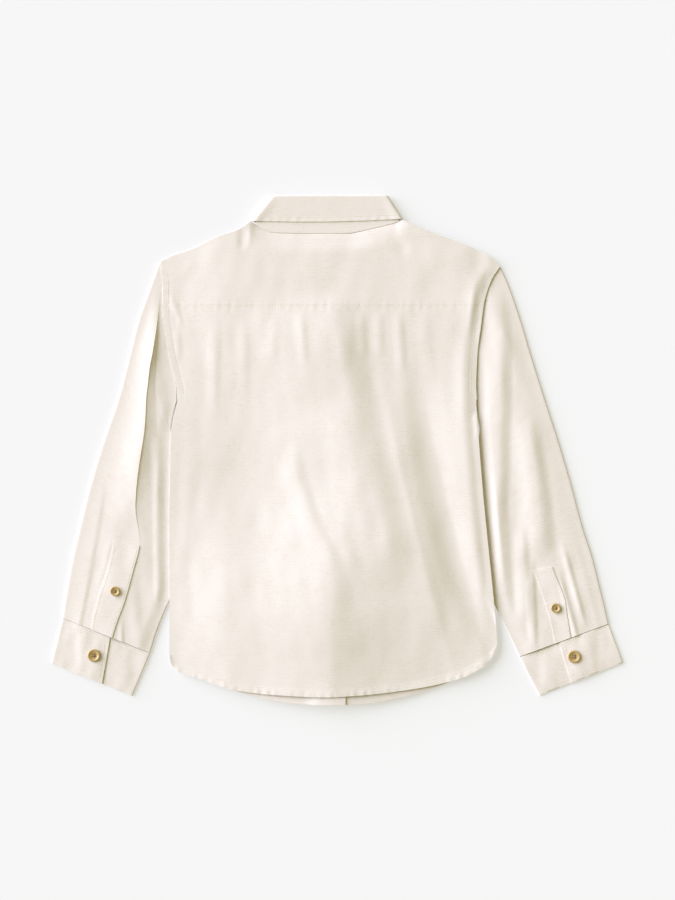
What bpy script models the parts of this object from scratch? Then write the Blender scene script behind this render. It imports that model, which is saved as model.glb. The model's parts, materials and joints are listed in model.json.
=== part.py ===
"""A child's long-sleeve shirt laid flat with its back up, one closed solid for each cut piece.

Sizes are millimetres, with +X to the right, +Y towards the collar and +Z up from the surface
that the shirt lies on. MM turns them into metres where a mesh is made.
"""

import math
from typing import NamedTuple

import bpy
import numpy as np

MM = 0.001
MIDDLE_Y = -3.75

# Cloth and its layers
WALL = 1.1
GAP = 0.3
LAYER = WALL + GAP
CUFF_WALL = 1.6
MOST_HOLLOW = 3.3

# Torso
UNDERARM_Y = 46.5
YOKE_SEAM_Y = 139.5
SEAM_HALF = 0.2
FRONT_OVERLAP = 0.04
ARMHOLE_CLEAR = 0.6
ROLL_WIDTH = 15.0
BODY_CROWN = 1.2
EDGE_CROWN = 0.35
EDGE_WIDTH = 4.0
HEM_CROWN_SHARE = 0.45
HEM_RAMP = 25.0
NECK_CORNER_LEFT = -85.5
NECK_CORNER_RIGHT = 66.5

# Sleeves
FOLD_STEPS = 4
ROWS_PER_SECTION = 2
LOWER_COLUMNS = (0.08, 0.25, 0.42, 0.58, 0.75, 0.92)
SLEEVE_ROLL = 14.0
SLEEVE_CROWN = 1.0
SLEEVE_EDGE_OUTER = 0.16
SLEEVE_EDGE_INNER = 0.14
SLEEVE_UNDER_BODY_Y = 52.5
SLEEVE_HEAD_SECTIONS = 3.0
SLEEVE_SEAM_TURN = 0.86
STRIP_COLUMNS = (0.0, 0.12, 0.5)
CREASE_COLUMNS = (0.0, 0.5)
INNER_COLUMNS = (0.0, 0.12, 0.28, 0.46, 0.64, 0.80, 0.92, 1.0)
TUCK_LIFT = 2 * LAYER + 0.2
TUCK_MARGIN = 3.0
TUCK_RAMP = 12.5
TUCK_START_Y = 47.0
TUCK_FULL_Y = 24.0

# Buttons: sewing sizes 20 and 15 ligne
CUFF_BUTTON = 12.7
PLACKET_BUTTON = 9.6
FRONT_BUTTON = 9.6
BUTTON_THICK = 2.2
FRONT_BUTTON_THICK = 1.5
FRONT_BUTTON_TOP_Y = 128.0
FRONT_BUTTON_PITCH = 62.0
FRONT_BUTTONS = 6
OVERLAP_NEAR = 14.5
RIDGE_FAR = 78.0
RIDGE_BUTTONS_LOW_Y = -214.0
RIDGE_BUTTONS_HIGH_Y = 160.0
RIDGE_RAMP = 24.0
OVERLAP_RAMP = 12.5
RIDGE_MARGIN = 1.2
RIDGE_SOFT = 0.6
BUTTON_ROOM = 11.0
BUTTON_RAMP = 13.0

# Button: holes as shares of its diameter, and the sides of a hole and of each kind of button
HOLE_RADIUS = 0.085
HOLE_SPREAD = 0.13
HOLES = 4
HOLE_SIDES = 6
CUFF_BUTTON_SIDES = 14
PLACKET_BUTTON_SIDES = 12
FRONT_BUTTON_SIDES = 10

# Fractions of the chest width where the torso has a column of points
SIDE_COLUMNS = (0.0, 0.014, 0.03, 0.048, 0.068, 0.095, 0.13, 0.175, 0.22)
MIDDLE_COLUMNS = (0.295, 0.33, 0.37, 0.41, 0.455, 0.5, 0.545, 0.59, 0.63, 0.665, 0.69)
FRONT_SKIPS = (0.175, 0.825)
ROWS_ABOVE_UNDERARM = 6
ROWS_BELOW_UNDERARM = 18
YOKE_ROWS = 5


class Point(NamedTuple):
    """A place on the surface that the shirt lies on."""

    x: float
    y: float


class Section(NamedTuple):
    """One section of a sleeve, from its outer fold to its inner fold.

    crease and strip are fractions of the way from the outer fold: the line of the long crease,
    which runs on as the sleeve's slit, and the far edge of the strip that is sewn over the slit.
    """

    outer_x: float
    outer_y: float
    inner_x: float
    inner_y: float
    crease: float
    strip: float


class Ring(NamedTuple):
    """One ring of a button: shares of its radius and of its thickness."""

    radius: float
    height: float


BUTTON_RINGS = (
    Ring(0.80, 0.0),
    Ring(1.0, 0.35),
    Ring(0.97, 0.85),
    Ring(0.86, 1.0),
    Ring(0.70, 0.85),
    Ring(0.55, 0.62),
)


class Fold(NamedTuple):
    """A soft ridge (or a trough where height is below zero) along a bowed line.

    west and east are the widths of its two slopes, and fade is the share of its length that
    each end takes to die away.
    """

    x0: float
    y0: float
    x1: float
    y1: float
    bow: float
    west: float
    east: float
    height: float
    fade: float


ARMHOLE_LEFT = (
    Point(-175.5, 184.5),
    Point(-173.7, 156.5),
    Point(-173.7, 135.5),
    Point(-170.5, 108.9),
    Point(-164.2, 77.5),
    Point(-159.4, 58.5),
    Point(-158.5, 46.5),
)
SIDE_LEFT = (
    Point(-158.5, 46.5),
    Point(-165.5, 6.5),
    Point(-165.7, -13.5),
    Point(-167.0, -73.5),
    Point(-166.5, -153.5),
    Point(-167.0, -205.5),
    Point(-166.0, -213.5),
)
ARMHOLE_RIGHT = (
    Point(163.2, 179.8),
    Point(154.5, 165.9),
    Point(148.0, 145.5),
    Point(144.3, 121.5),
    Point(140.5, 89.9),
    Point(139.3, 58.5),
    Point(139.5, 46.5),
)
SIDE_RIGHT = (
    Point(139.5, 46.5),
    Point(139.7, 34.5),
    Point(141.5, 10.5),
    Point(146.9, -55.5),
    Point(150.5, -91.5),
    Point(157.1, -157.0),
    Point(160.1, -195.9),
    Point(158.0, -206.0),
)
HEM = (
    Point(-166.0, -213.5),
    Point(-162.5, -220.5),
    Point(-155.5, -225.5),
    Point(-136.5, -231.5),
    Point(-100.5, -243.0),
    Point(-59.5, -247.5),
    Point(-13.5, -249.5),
    Point(21.5, -248.0),
    Point(83.5, -240.7),
    Point(122.5, -231.5),
    Point(145.1, -220.3),
    Point(153.1, -213.1),
    Point(158.0, -206.0),
)
FRONT_HEM = (
    Point(-166.0, -211.5),
    Point(-155.5, -223.5),
    Point(-136.5, -229.5),
    Point(-100.5, -243.5),
    Point(-70.5, -251.5),
    Point(-44.5, -255.8),
    Point(-13.5, -257.5),
    Point(21.5, -257.0),
    Point(58.5, -251.5),
    Point(83.5, -245.0),
    Point(111.5, -235.5),
    Point(145.1, -218.3),
    Point(158.0, -204.0),
)
SHOULDER_LEFT = (
    Point(-175.5, 184.5),
    Point(-165.5, 189.5),
    Point(-142.5, 197.5),
    Point(-119.9, 208.9),
    Point(-97.5, 216.5),
    Point(NECK_CORNER_LEFT, 221.8),
)
SHOULDER_RIGHT = (
    Point(NECK_CORNER_RIGHT, 223.5),
    Point(89.5, 215.5),
    Point(113.5, 207.0),
    Point(143.0, 195.0),
    Point(154.5, 188.7),
    Point(163.2, 179.8),
)
BACK_NECK = (
    Point(NECK_CORNER_LEFT, 221.8),
    Point(-63.5, 213.5),
    Point(-30.5, 212.7),
    Point(8.5, 212.7),
    Point(31.5, 216.5),
    Point(50.5, 221.0),
    Point(NECK_CORNER_RIGHT, 223.5),
)
FRONT_NECK = (
    Point(NECK_CORNER_LEFT, 221.8),
    Point(-76.0, 206.0),
    Point(-60.0, 184.0),
    Point(-36.0, 166.5),
    Point(-9.0, 160.0),
    Point(18.0, 166.5),
    Point(42.0, 184.0),
    Point(57.0, 206.0),
    Point(NECK_CORNER_RIGHT, 223.5),
)

SLEEVE_LEFT = (
    Section(-175.5, 184.5, -159.6, 46.5, 0.12, 0.06),
    Section(-185.5, 158.5, -163.6, 30.5, 0.30, 0.15),
    Section(-197.5, 126.5, -165.2, 18.5, 0.38, 0.20),
    Section(-207.5, 88.5, -158.5, -1.5, 0.365, 0.20),
    Section(-218.0, 48.5, -152.5, -29.5, 0.398, 0.22),
    Section(-232.5, 6.5, -149.5, -58.5, 0.42, 0.25),
    Section(-245.5, -35.5, -148.5, -83.5, 0.46, 0.28),
    Section(-258.0, -85.5, -150.0, -109.5, 0.57, 0.33),
    Section(-264.0, -111.5, -157.0, -133.5, 0.572, 0.336),
    Section(-269.5, -141.5, -171.0, -163.5, 0.592, 0.323),
    Section(-272.5, -159.5, -180.0, -186.5, 0.58, 0.319),
    Section(-273.8, -171.5, -186.0, -206.0, 0.566, 0.322),
)
SLEEVE_RIGHT = (
    Section(163.2, 179.5, 140.6, 46.5, 0.12, 0.06),
    Section(172.5, 158.5, 141.4, 30.5, 0.25, 0.15),
    Section(184.5, 124.5, 143.2, 16.5, 0.43, 0.24),
    Section(194.5, 91.5, 137.5, -3.5, 0.47, 0.27),
    Section(208.0, 48.5, 132.0, -31.5, 0.52, 0.30),
    Section(221.5, 6.5, 130.5, -60.5, 0.57, 0.33),
    Section(234.0, -35.5, 131.5, -85.5, 0.62, 0.36),
    Section(245.5, -78.5, 135.5, -109.5, 0.60, 0.38),
    Section(256.0, -111.5, 143.5, -135.5, 0.526, 0.36),
    Section(263.5, -141.5, 158.0, -159.0, 0.54, 0.351),
    Section(268.0, -159.5, 170.5, -184.5, 0.564, 0.385),
    Section(272.0, -177.0, 182.5, -210.0, 0.603, 0.425),
)
STRIP_FROM_LEFT = 7
STRIP_FROM_RIGHT = 8

BACK_FOLDS = (
    Fold(-8.5, 150.0, 48.5, -93.5, -3.0, 36.0, 20.0, 2.6, 0.25),
    Fold(61.5, 96.5, 136.5, -203.5, -24.0, 30.0, 22.0, 2.4, 0.25),
    Fold(110.5, 126.5, 146.5, -163.5, 0.0, 34.0, 16.0, 1.5, 0.25),
    Fold(21.5, -78.5, -4.5, -330.0, 0.0, 120.0, 85.0, 3.2, 0.30),
    Fold(55.5, -193.5, 66.5, -262.0, 0.0, 18.0, 16.0, 1.4, 0.40),
    Fold(-146.5, 150.5, -152.5, -30.0, 0.0, 14.0, 16.0, 1.1, 0.30),
    Fold(-96.5, 120.0, -110.5, -150.0, 10.0, 34.0, 26.0, 1.0, 0.35),
    Fold(-52.5, 40.0, 2.5, -100.0, 0.0, 20.0, 16.0, 0.9, 0.35),
)
SLEEVE_LEFT_FOLDS = (
    Fold(-175.5, 172.0, -200.5, -92.0, -6.0, 26.0, 7.0, 2.4, 0.15),
    Fold(-181.5, 20.0, -176.5, -165.0, 0.0, 12.0, 12.0, 1.2, 0.25),
    Fold(-240.5, -30.0, -262.5, -150.0, 0.0, 14.0, 12.0, 0.9, 0.30),
)
SLEEVE_RIGHT_FOLDS = (
    Fold(170.5, 165.0, 186.5, -60.0, 4.0, 8.0, 24.0, 2.2, 0.15),
    Fold(196.5, 10.0, 216.5, -100.0, 0.0, 12.0, 14.0, 1.0, 0.25),
    Fold(226.5, 0.0, 250.5, -140.0, 0.0, 14.0, 12.0, 1.0, 0.30),
)

# Collar: where the leaf turns down, its free edge, and its points under the fronts
LEAF_FOLD_LEFT = Point(-64.8, 249.6)
LEAF_FOLD_RIGHT = Point(51.5, 250.0)
LEAF_EDGE_LEFT = Point(-84.5, 224.9)
LEAF_EDGE_RIGHT = Point(66.3, 226.9)
LEAF_EDGE_SAG = 1.6
LEAF_FRONT_TOP_LEFT = Point(-12.0, 188.0)
LEAF_FRONT_TOP_RIGHT = Point(-6.0, 188.0)
LEAF_POINT_LEFT = Point(-42.0, 141.0)
LEAF_POINT_RIGHT = Point(24.0, 141.0)
COLLAR_ROOM = 4.0
COLLAR_RAMP = 13.0
COLLAR_START_Y = 122.0
COLLAR_FULL_Y = 136.0
STAND_INSET = 2.6
STAND_TOP_INSET = 2.8
STAND_LOW_INSET = 1.2
STAND_END_GAP = 2.0
STAND_NECK_CLEAR = 0.7
STAND_FRONT_CLEAR = 1.6
COLLAR_ROWS = 5
COLLAR_BACK_COLUMNS = 12
COLLAR_FRONT_COLUMNS = 7


class Cuff(NamedTuple):
    """A cuff seen from above: its corners, and how far across it its upper lap reaches."""

    outer_seam: Point
    outer_edge: Point
    inner_seam: Point
    inner_edge: Point
    lap_seam: float
    lap_edge: float
    button: Point


CUFF_LEFT = Cuff(
    Point(-273.9, -171.9), Point(-285.2, -216.5), Point(-186.4, -207.0), Point(-204.0, -249.0),
    0.545, 0.63, Point(-242.1, -208.5),
)
CUFF_RIGHT = Cuff(
    Point(272.2, -177.6), Point(286.4, -215.9), Point(182.8, -210.8), Point(202.5, -248.8),
    0.555, 0.615, Point(237.0, -209.7),
)
LAP_HIDDEN = 0.24
LAP_RAMP = 0.22
LAP_CLEAR = 0.03
CUFF_ROWS = 4
UPPER_LAP_STEPS = 8
CUFF_UNDER_STEPS = 5
UNDER_LAP_STEPS = 6
PLACKET_BUTTON_LEFT = Point(-220.9, -144.3)
PLACKET_BUTTON_RIGHT = Point(218.5, -161.2)

# Finishes: base colour and roughness
CLOTH = (0.86, 0.80, 0.70)
CLOTH_ROUGHNESS = 0.9
HORN = (0.48, 0.35, 0.16)
HORN_ROUGHNESS = 0.35


def ease(start, end, at):
    """A value that goes smoothly from 0 at start to 1 at end."""
    s = np.clip((np.asarray(at, float) - start) / (end - start), 0.0, 1.0)
    return s * s * (3.0 - 2.0 * s)


def higher(a, b, soft=0.5):
    """The higher of two heights, rounded where they cross."""
    return 0.5 * (a + b + np.sqrt((a - b) ** 2 + soft * soft))


def through(keys, values, at):
    """The height at a place on a smooth line through points, with no overshoot between them."""
    order = np.argsort(keys)
    k, v = np.asarray(keys, float)[order], np.asarray(values, float)[order]
    run = np.diff(k)
    rise = np.diff(v) / run
    slope = np.concatenate([rise[:1], np.zeros(len(rise) - 1), rise[-1:]])
    same = rise[:-1] * rise[1:] > 0.0
    slope[1:-1][same] = 2.0 * (rise[:-1] * rise[1:])[same] / (rise[:-1] + rise[1:])[same]
    at = np.clip(np.asarray(at, float), k[0], k[-1])
    i = np.clip(np.searchsorted(k, at, side="right") - 1, 0, len(run) - 1)
    s = (at - k[i]) / run[i]
    start = (1.0 + 2.0 * s) * (1.0 - s) ** 2 * v[i] + s * (1.0 - s) ** 2 * run[i] * slope[i]
    return start + s * s * (3.0 - 2.0 * s) * v[i + 1] + s * s * (s - 1.0) * run[i] * slope[i + 1]


def x_on(points, y):
    """X on a line of points at a given Y."""
    return through([p.y for p in points], [p.x for p in points], y)


def y_on(points, x):
    """Y on a line of points at a given X."""
    return through([p.x for p in points], [p.y for p in points], x)


def left_edge(y):
    """X of the torso's left edge: the armhole above the underarm, the side seam below it."""
    return np.where(y > UNDERARM_Y, x_on(ARMHOLE_LEFT, y), x_on(SIDE_LEFT, y))


def right_edge(y):
    """X of the torso's right edge."""
    return np.where(y > UNDERARM_Y, x_on(ARMHOLE_RIGHT, y), x_on(SIDE_RIGHT, y))


def fold_height(folds, x, y):
    """The height that a table of folds adds at a place."""
    total = np.zeros(np.broadcast(x, y).shape)
    for f in folds:
        length = math.hypot(f.x1 - f.x0, f.y1 - f.y0)
        along_x, along_y = (f.x1 - f.x0) / length, (f.y1 - f.y0) / length
        s = ((x - f.x0) * along_x + (y - f.y0) * along_y) / length
        side = (x - f.x0) * -along_y + (y - f.y0) * along_x
        off = side - f.bow * 4.0 * s * (1.0 - s)
        width = np.where(off > 0.0, f.east, f.west)
        slope = 0.5 * (1.0 + np.cos(math.pi * np.clip(np.abs(off) / width, 0.0, 1.0)))
        total = total + f.height * slope * ease(0.0, f.fade, s) * ease(0.0, f.fade, 1.0 - s)
    return total


def tuck_lift(x, y):
    """How far the torso is raised by the sleeves that lie tucked under its sides."""
    lift = 0.0
    for sections, sign in ((SLEEVE_LEFT, 1.0), (SLEEVE_RIGHT, -1.0)):
        inner = through([s.inner_y for s in sections], [s.inner_x for s in sections], y)
        past = (x - inner) * sign
        lift = lift + TUCK_LIFT * (1.0 - ease(TUCK_MARGIN, TUCK_MARGIN + TUCK_RAMP, past))
    return lift * (1.0 - ease(TUCK_FULL_Y, TUCK_START_Y, y))


def collar_lift(x, y):
    """How far the torso is raised by the collar points that lie under the fronts."""
    left = x_on((LEAF_EDGE_LEFT, LEAF_POINT_LEFT), y)
    right = x_on((LEAF_EDGE_RIGHT, LEAF_POINT_RIGHT), y)
    far = COLLAR_ROOM + COLLAR_RAMP
    across = ease(-far, -COLLAR_ROOM, x - left) * (1.0 - ease(COLLAR_ROOM, far, x - right))
    return LAYER * across * ease(COLLAR_START_Y, COLLAR_FULL_Y, y)


def centre_x(y):
    """X of the centre front."""
    return 0.5 * (left_edge(y) + right_edge(y))


def front_button_places():
    """Where the front buttons lie."""
    rows = [FRONT_BUTTON_TOP_Y - FRONT_BUTTON_PITCH * i for i in range(FRONT_BUTTONS)]
    return [Point(float(centre_x(np.array(y))), y) for y in rows]


def button_lift(x, y):
    """How far the fronts are raised by the buttons under them."""
    lift = 0.0
    for place in front_button_places():
        away = np.hypot(x - place.x, y - place.y)
        bump = 1.0 - ease(BUTTON_ROOM, BUTTON_ROOM + BUTTON_RAMP, away)
        lift = lift + (FRONT_BUTTON_THICK + GAP) * bump
    return lift


def overlap_lift(x, y):
    """How far the left front is raised where it lies on the right front."""
    return LAYER * ease(-OVERLAP_NEAR - OVERLAP_RAMP, -OVERLAP_NEAR, x - centre_x(y))


def centre_ridge(x, y):
    """The back's height over the buttons and the lap along the centre front, and 0 to 1 across."""
    near = 1.0 - ease(OVERLAP_NEAR, RIDGE_FAR, np.abs(x - centre_x(y)))
    above_low = ease(RIDGE_BUTTONS_LOW_Y, RIDGE_BUTTONS_LOW_Y + RIDGE_RAMP, y)
    below_high = 1.0 - ease(RIDGE_BUTTONS_HIGH_Y - RIDGE_RAMP, RIDGE_BUTTONS_HIGH_Y, y)
    stack = LAYER + (FRONT_BUTTON_THICK + GAP) * above_low * below_high
    return RIDGE_MARGIN * stack * near, near


def crown(x, y):
    """The back's own height over a flat front: a soft crown that rolls off at its edges."""
    side = np.minimum(x - left_edge(y), right_edge(y) - x)
    hem = y - y_on(HEM, x)
    roll = ease(0.0, ROLL_WIDTH, side)
    near_hem = HEM_CROWN_SHARE + (1.0 - HEM_CROWN_SHARE) * ease(0.0, HEM_RAMP, hem)
    own = BODY_CROWN + fold_height(BACK_FOLDS, x, y)
    return EDGE_CROWN * ease(0.0, EDGE_WIDTH, side) + roll * near_hem * own


def front_under(x, y, is_left):
    """Height of the fronts' undersides, which rest on the surface between the lifts."""
    broad = crown(x, y) - MOST_HOLLOW
    rise = np.where(broad > 0.0, broad, 0.0)
    over = overlap_lift(x, y) if is_left else 0.0
    return rise + tuck_lift(x, y) + collar_lift(x, y) + button_lift(x, y) + over


def back_under(x, y):
    """Height of the undersides of the back and the yoke."""
    ridge, near = centre_ridge(x, y)
    own = higher(crown(x, y), ridge, RIDGE_SOFT * near)
    return LAYER + tuck_lift(x, y) + collar_lift(x, y) + own


def torso_columns():
    """Fractions of the width with a column of points, two of them at the neck's corners."""
    tip_left, tip_right = ARMHOLE_LEFT[0].x, ARMHOLE_RIGHT[0].x
    corners = (NECK_CORNER_LEFT, NECK_CORNER_RIGHT)
    necks = tuple((x - tip_left) / (tip_right - tip_left) for x in corners)
    mirrored = tuple(1.0 - u for u in SIDE_COLUMNS)
    return sorted(SIDE_COLUMNS + MIDDLE_COLUMNS + mirrored + necks)


def clear_scene():
    """Empties the scene."""
    for thing in list(bpy.data.objects):
        bpy.data.objects.remove(thing, do_unlink=True)


def finish(name, colour, roughness):
    """A plain finish of one colour."""
    material = bpy.data.materials.new(name)
    material.use_nodes = True
    shader = material.node_tree.nodes["Principled BSDF"]
    shader.inputs["Base Color"].default_value = (*colour, 1.0)
    shader.inputs["Roughness"].default_value = roughness
    shader.inputs["Metallic"].default_value = 0.0
    return material


def signed_volume(points, faces):
    """The volume that faces enclose, below zero where they face inwards."""
    total = 0.0
    for face in faces:
        a = points[face[0]]
        for i in range(1, len(face) - 1):
            total += np.dot(a, np.cross(points[face[i]], points[face[i + 1]]))
    return total / 6.0


def make_object(name, points, faces, colour=CLOTH, roughness=CLOTH_ROUGHNESS):
    """One mesh object, with its faces pointing out."""
    if signed_volume(points, faces) < 0.0:
        faces = [tuple(reversed(face)) for face in faces]
    mesh = bpy.data.meshes.new(name)
    placed = np.asarray(points, float) - (0.0, MIDDLE_Y, 0.0)
    mesh.from_pydata([tuple(float(c) * MM for c in p) for p in placed], [], faces)
    mesh.validate()
    mesh.shade_smooth()
    mesh.set_sharp_from_angle(angle=math.radians(35.0))
    mesh.materials.append(finish(name, colour, roughness))
    made = bpy.data.objects.new(name, mesh)
    bpy.context.scene.collection.objects.link(made)
    return made


def wall_faces(rows, columns, ring):
    """Faces of a wall between two grids of points, the outer one first, closed round its rims."""
    half = rows * columns

    def at(skin, row, column):
        return skin * half + row * columns + column % columns

    faces = []
    spans = columns if ring else columns - 1
    for i in range(rows - 1):
        for j in range(spans):
            a, b, c, d = at(0, i, j), at(0, i, j + 1), at(0, i + 1, j + 1), at(0, i + 1, j)
            faces += [(a, b, c), (a, c, d)]
            a, b, c, d = a + half, b + half, c + half, d + half
            faces += [(c, b, a), (d, c, a)]
    for j in range(spans):
        for row, turn in ((0, 1), (rows - 1, -1)):
            a, b = at(0, row, j), at(0, row, j + 1)
            faces.append((a, a + half, b + half, b)[::turn])
    if not ring:
        for i in range(rows - 1):
            for column, turn in ((0, -1), (columns - 1, 1)):
                a, b = at(0, i, column), at(0, i + 1, column)
                faces.append((a, a + half, b + half, b)[::turn])
    return faces


def make_wall(name, outer, inner, ring=False):
    """One closed wall between an outer and an inner grid of points."""
    rows, columns = outer.shape[:2]
    points = np.concatenate([outer.reshape(-1, 3), inner.reshape(-1, 3)])
    return make_object(name, points, wall_faces(rows, columns, ring))


def panel(name, x, y, under, thick=WALL):
    """A panel of cloth on a grid of places, from the height of its underside."""
    low = np.stack([x, y, under], axis=-1)
    high = np.stack([x, y, under + thick], axis=-1)
    return make_wall(name, high, low)


def lower_rows(columns, hem=HEM):
    """Places on the torso from the underarm down to a hem, a row at a time."""
    u = np.array(columns)
    hem_x = HEM[0].x + u * (HEM[-1].x - HEM[0].x)
    v = np.linspace(0.0, 1.0, ROWS_BELOW_UNDERARM + 1)[:, None]
    y = UNDERARM_Y + v * (y_on(HEM, hem_x) - UNDERARM_Y)
    x = left_edge(y) * (1.0 - u) + right_edge(y) * u
    y[-1] = y_on(hem, hem_x)
    return x, y


def make_back():
    """The back panel, from the yoke seam to the hem."""
    u = np.array(torso_columns())
    x_low, y_low = lower_rows(u)
    top = YOKE_SEAM_Y - SEAM_HALF
    y_up = np.linspace(top, UNDERARM_Y, ROWS_ABOVE_UNDERARM + 1)[:-1, None] + 0.0 * u
    x_up = left_edge(y_up) * (1.0 - u) + right_edge(y_up) * u
    x, y = np.concatenate([x_up, x_low]), np.concatenate([y_up, y_low])
    panel("back_panel", x, y, back_under(x, y))


def torso_top(x, neck):
    """Y of the torso's top edge: the shoulders, with a neckline between them."""
    middle = np.where(x > NECK_CORNER_RIGHT, y_on(SHOULDER_RIGHT, x), y_on(neck, x))
    return np.where(x < NECK_CORNER_LEFT, y_on(SHOULDER_LEFT, x), middle)


def rows_to_top(u, bottom_y, neck, count):
    """Places from a level line up to the torso's top edge, a row at a time."""
    tip_left, tip_right = ARMHOLE_LEFT[0], ARMHOLE_RIGHT[0]
    top_x = tip_left.x + u * (tip_right.x - tip_left.x)
    top_y = torso_top(top_x, neck)
    w = np.linspace(0.0, 1.0, count + 1)[:, None]
    y = bottom_y + w * (top_y - bottom_y)
    left = left_edge(np.maximum(bottom_y + w * (tip_left.y - bottom_y), UNDERARM_Y + 1e-6))
    right = right_edge(np.maximum(bottom_y + w * (tip_right.y - bottom_y), UNDERARM_Y + 1e-6))
    return left * (1.0 - u) + right * u, y


def make_yoke():
    """The back yoke, from its seam up to the shoulders and the neck."""
    x, y = rows_to_top(np.array(torso_columns()), YOKE_SEAM_Y + SEAM_HALF, BACK_NECK, YOKE_ROWS)
    panel("back_yoke", x, y, back_under(x, y))


def make_front(name, columns, is_left):
    """One front, from the shoulder to the hem."""
    u = np.array(columns)
    x_low, y_low = lower_rows(columns, FRONT_HEM)
    x_up, y_up = rows_to_top(u, UNDERARM_Y, FRONT_NECK, ROWS_ABOVE_UNDERARM + YOKE_ROWS)
    x, y = np.concatenate([x_up[:0:-1], x_low]), np.concatenate([y_up[:0:-1], y_low])
    panel(name, x, y, front_under(x, y, is_left))


def normals_left(x, y):
    """Unit vectors to the left of a line's direction of travel."""
    dx, dy = np.gradient(x), np.gradient(y)
    length = np.hypot(dx, dy)
    return -dy / length, dx / length


class Sleeve:
    """A sleeve as a flat tube: an upper wall, a lower wall and the two folds between them."""

    def __init__(self, name, sections, folds, side, armhole):
        """side is -1 for the left sleeve and 1 for the right one."""
        self.name, self.sections, self.folds = name, sections, folds
        self.side, self.armhole = side, armhole
        last = len(sections) - 1
        self.t = np.linspace(0.0, last, last * ROWS_PER_SECTION + 1)

    def column(self, field):
        """One column of the table of sections, on a smooth line through its rows."""
        values = [getattr(row, field) for row in self.sections]
        return through(range(len(values)), values, self.t)

    def fractions(self):
        """Where the columns of points lie across each row, with two on the strip's edges."""
        strip, crease = self.column("strip")[:, None], self.column("crease")[:, None]
        outer = np.array(STRIP_COLUMNS)[None, :] * strip
        middle = strip + np.array(CREASE_COLUMNS)[None, :] * (crease - strip)
        inner = crease + np.array(INNER_COLUMNS)[None, :] * (1.0 - crease)
        return np.concatenate([outer, middle, inner], axis=1)

    def edges(self):
        """The middle of each fold's turn, and the way out of it, for the outer and inner folds."""
        radius = 0.5 * (LAYER + WALL)
        ox, oy = self.column("outer_x"), self.column("outer_y")
        ix, iy = self.column("inner_x"), self.column("inner_y")
        nx, ny = normals_left(ox, oy)
        mx, my = normals_left(ix, iy)
        out, back = (nx * self.side, ny * self.side), (-mx * self.side, -my * self.side)
        outer = (ox - out[0] * radius, oy - out[1] * radius)
        inner = (ix - back[0] * radius, iy - back[1] * radius)
        return outer, out, inner, back

    def relief(self, x, y, v):
        """How far the upper wall stands above a flat one."""
        edge = left_edge(y) if self.side < 0 else right_edge(y)
        clear = (x - edge) * self.side
        beside = np.where(y < SLEEVE_UNDER_BODY_Y, ease(1.0, SLEEVE_ROLL, clear), 1.0)
        across = ease(0.0, SLEEVE_EDGE_OUTER, v) * ease(0.0, SLEEVE_EDGE_INNER, 1.0 - v)
        return across * beside * (SLEEVE_CROWN + fold_height(self.folds, x, y))

    def places(self, v):
        """Places across each row, bowed to the armhole near the top."""
        (ox, oy), _, (ix, iy), _ = self.edges()
        x = ox[:, None] * (1.0 - v) + ix[:, None] * v
        y = oy[:, None] * (1.0 - v) + iy[:, None] * v
        seam_y = np.clip(y[0], UNDERARM_Y + 0.01, self.armhole[0].y)
        turn = (LAYER + WALL) * 0.5 * ease(SLEEVE_SEAM_TURN, 1.0, v[0])
        seam_x = x_on(self.armhole, seam_y) + self.side * (ARMHOLE_CLEAR + turn)
        fall = 1.0 - ease(0.0, SLEEVE_HEAD_SECTIONS, self.t)[:, None]
        return x + (seam_x - x[0]) * fall, y + (seam_y - y[0]) * fall

    def build(self):
        """Makes the tube, and keeps its upper wall's points for what lies on it."""
        v = self.fractions()
        x, y = self.places(v)
        top = LAYER + WALL + self.relief(x, y, v)
        flat = np.array(LOWER_COLUMNS)[None, ::-1] + 0.0 * self.t[:, None]
        low_x, low_y = self.places(flat)
        _, out, _, back = self.edges()
        centre_z = 0.5 * (LAYER + WALL)
        skins = []
        for radius, high, low in ((centre_z, top, 0.0), (centre_z - WALL, top - WALL, WALL)):
            upper = np.stack([x, y, high], axis=-1)
            lower = np.stack([low_x, low_y, np.full_like(low_x, low)], axis=-1)
            inner_turn = self.turn(x[:, -1], y[:, -1], back, radius, centre_z, 1.0)
            outer_turn = self.turn(x[:, 0], y[:, 0], out, radius, centre_z, -1.0)
            skins.append(np.concatenate([upper, inner_turn, lower, outer_turn], axis=1))
        self.v, self.x, self.y, self.top = v, x, y, top
        return make_wall(self.name, skins[0], skins[1], ring=True)

    def turn(self, x, y, out, radius, centre_z, start):
        """Points round one fold: down from the upper wall (start 1), or up to it (start -1)."""
        made = []
        for i in range(FOLD_STEPS + 1):
            angle = math.pi * (0.5 - i / FOLD_STEPS) * start
            reach, height = radius * math.cos(angle), centre_z + radius * math.sin(angle)
            line = [x + out[0] * reach, y + out[1] * reach, np.full_like(x, height)]
            made.append(np.stack(line, axis=-1))
        return np.stack(made[1:] if start > 0 else made[:-1], axis=1)

    def build_strip(self, name, first_section):
        """The strip over the slit, from the upper wall's own points moved out."""
        rows = slice(first_section * ROWS_PER_SECTION, None)
        first = len(STRIP_COLUMNS)
        columns = slice(first, first + len(CREASE_COLUMNS) + 1)
        x, y = self.x[rows, columns], self.y[rows, columns]
        under = self.top[rows, columns] + GAP
        panel(name, x, y, under)
        self.strip_x, self.strip_y, self.strip_top = x, y, under + WALL


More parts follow.
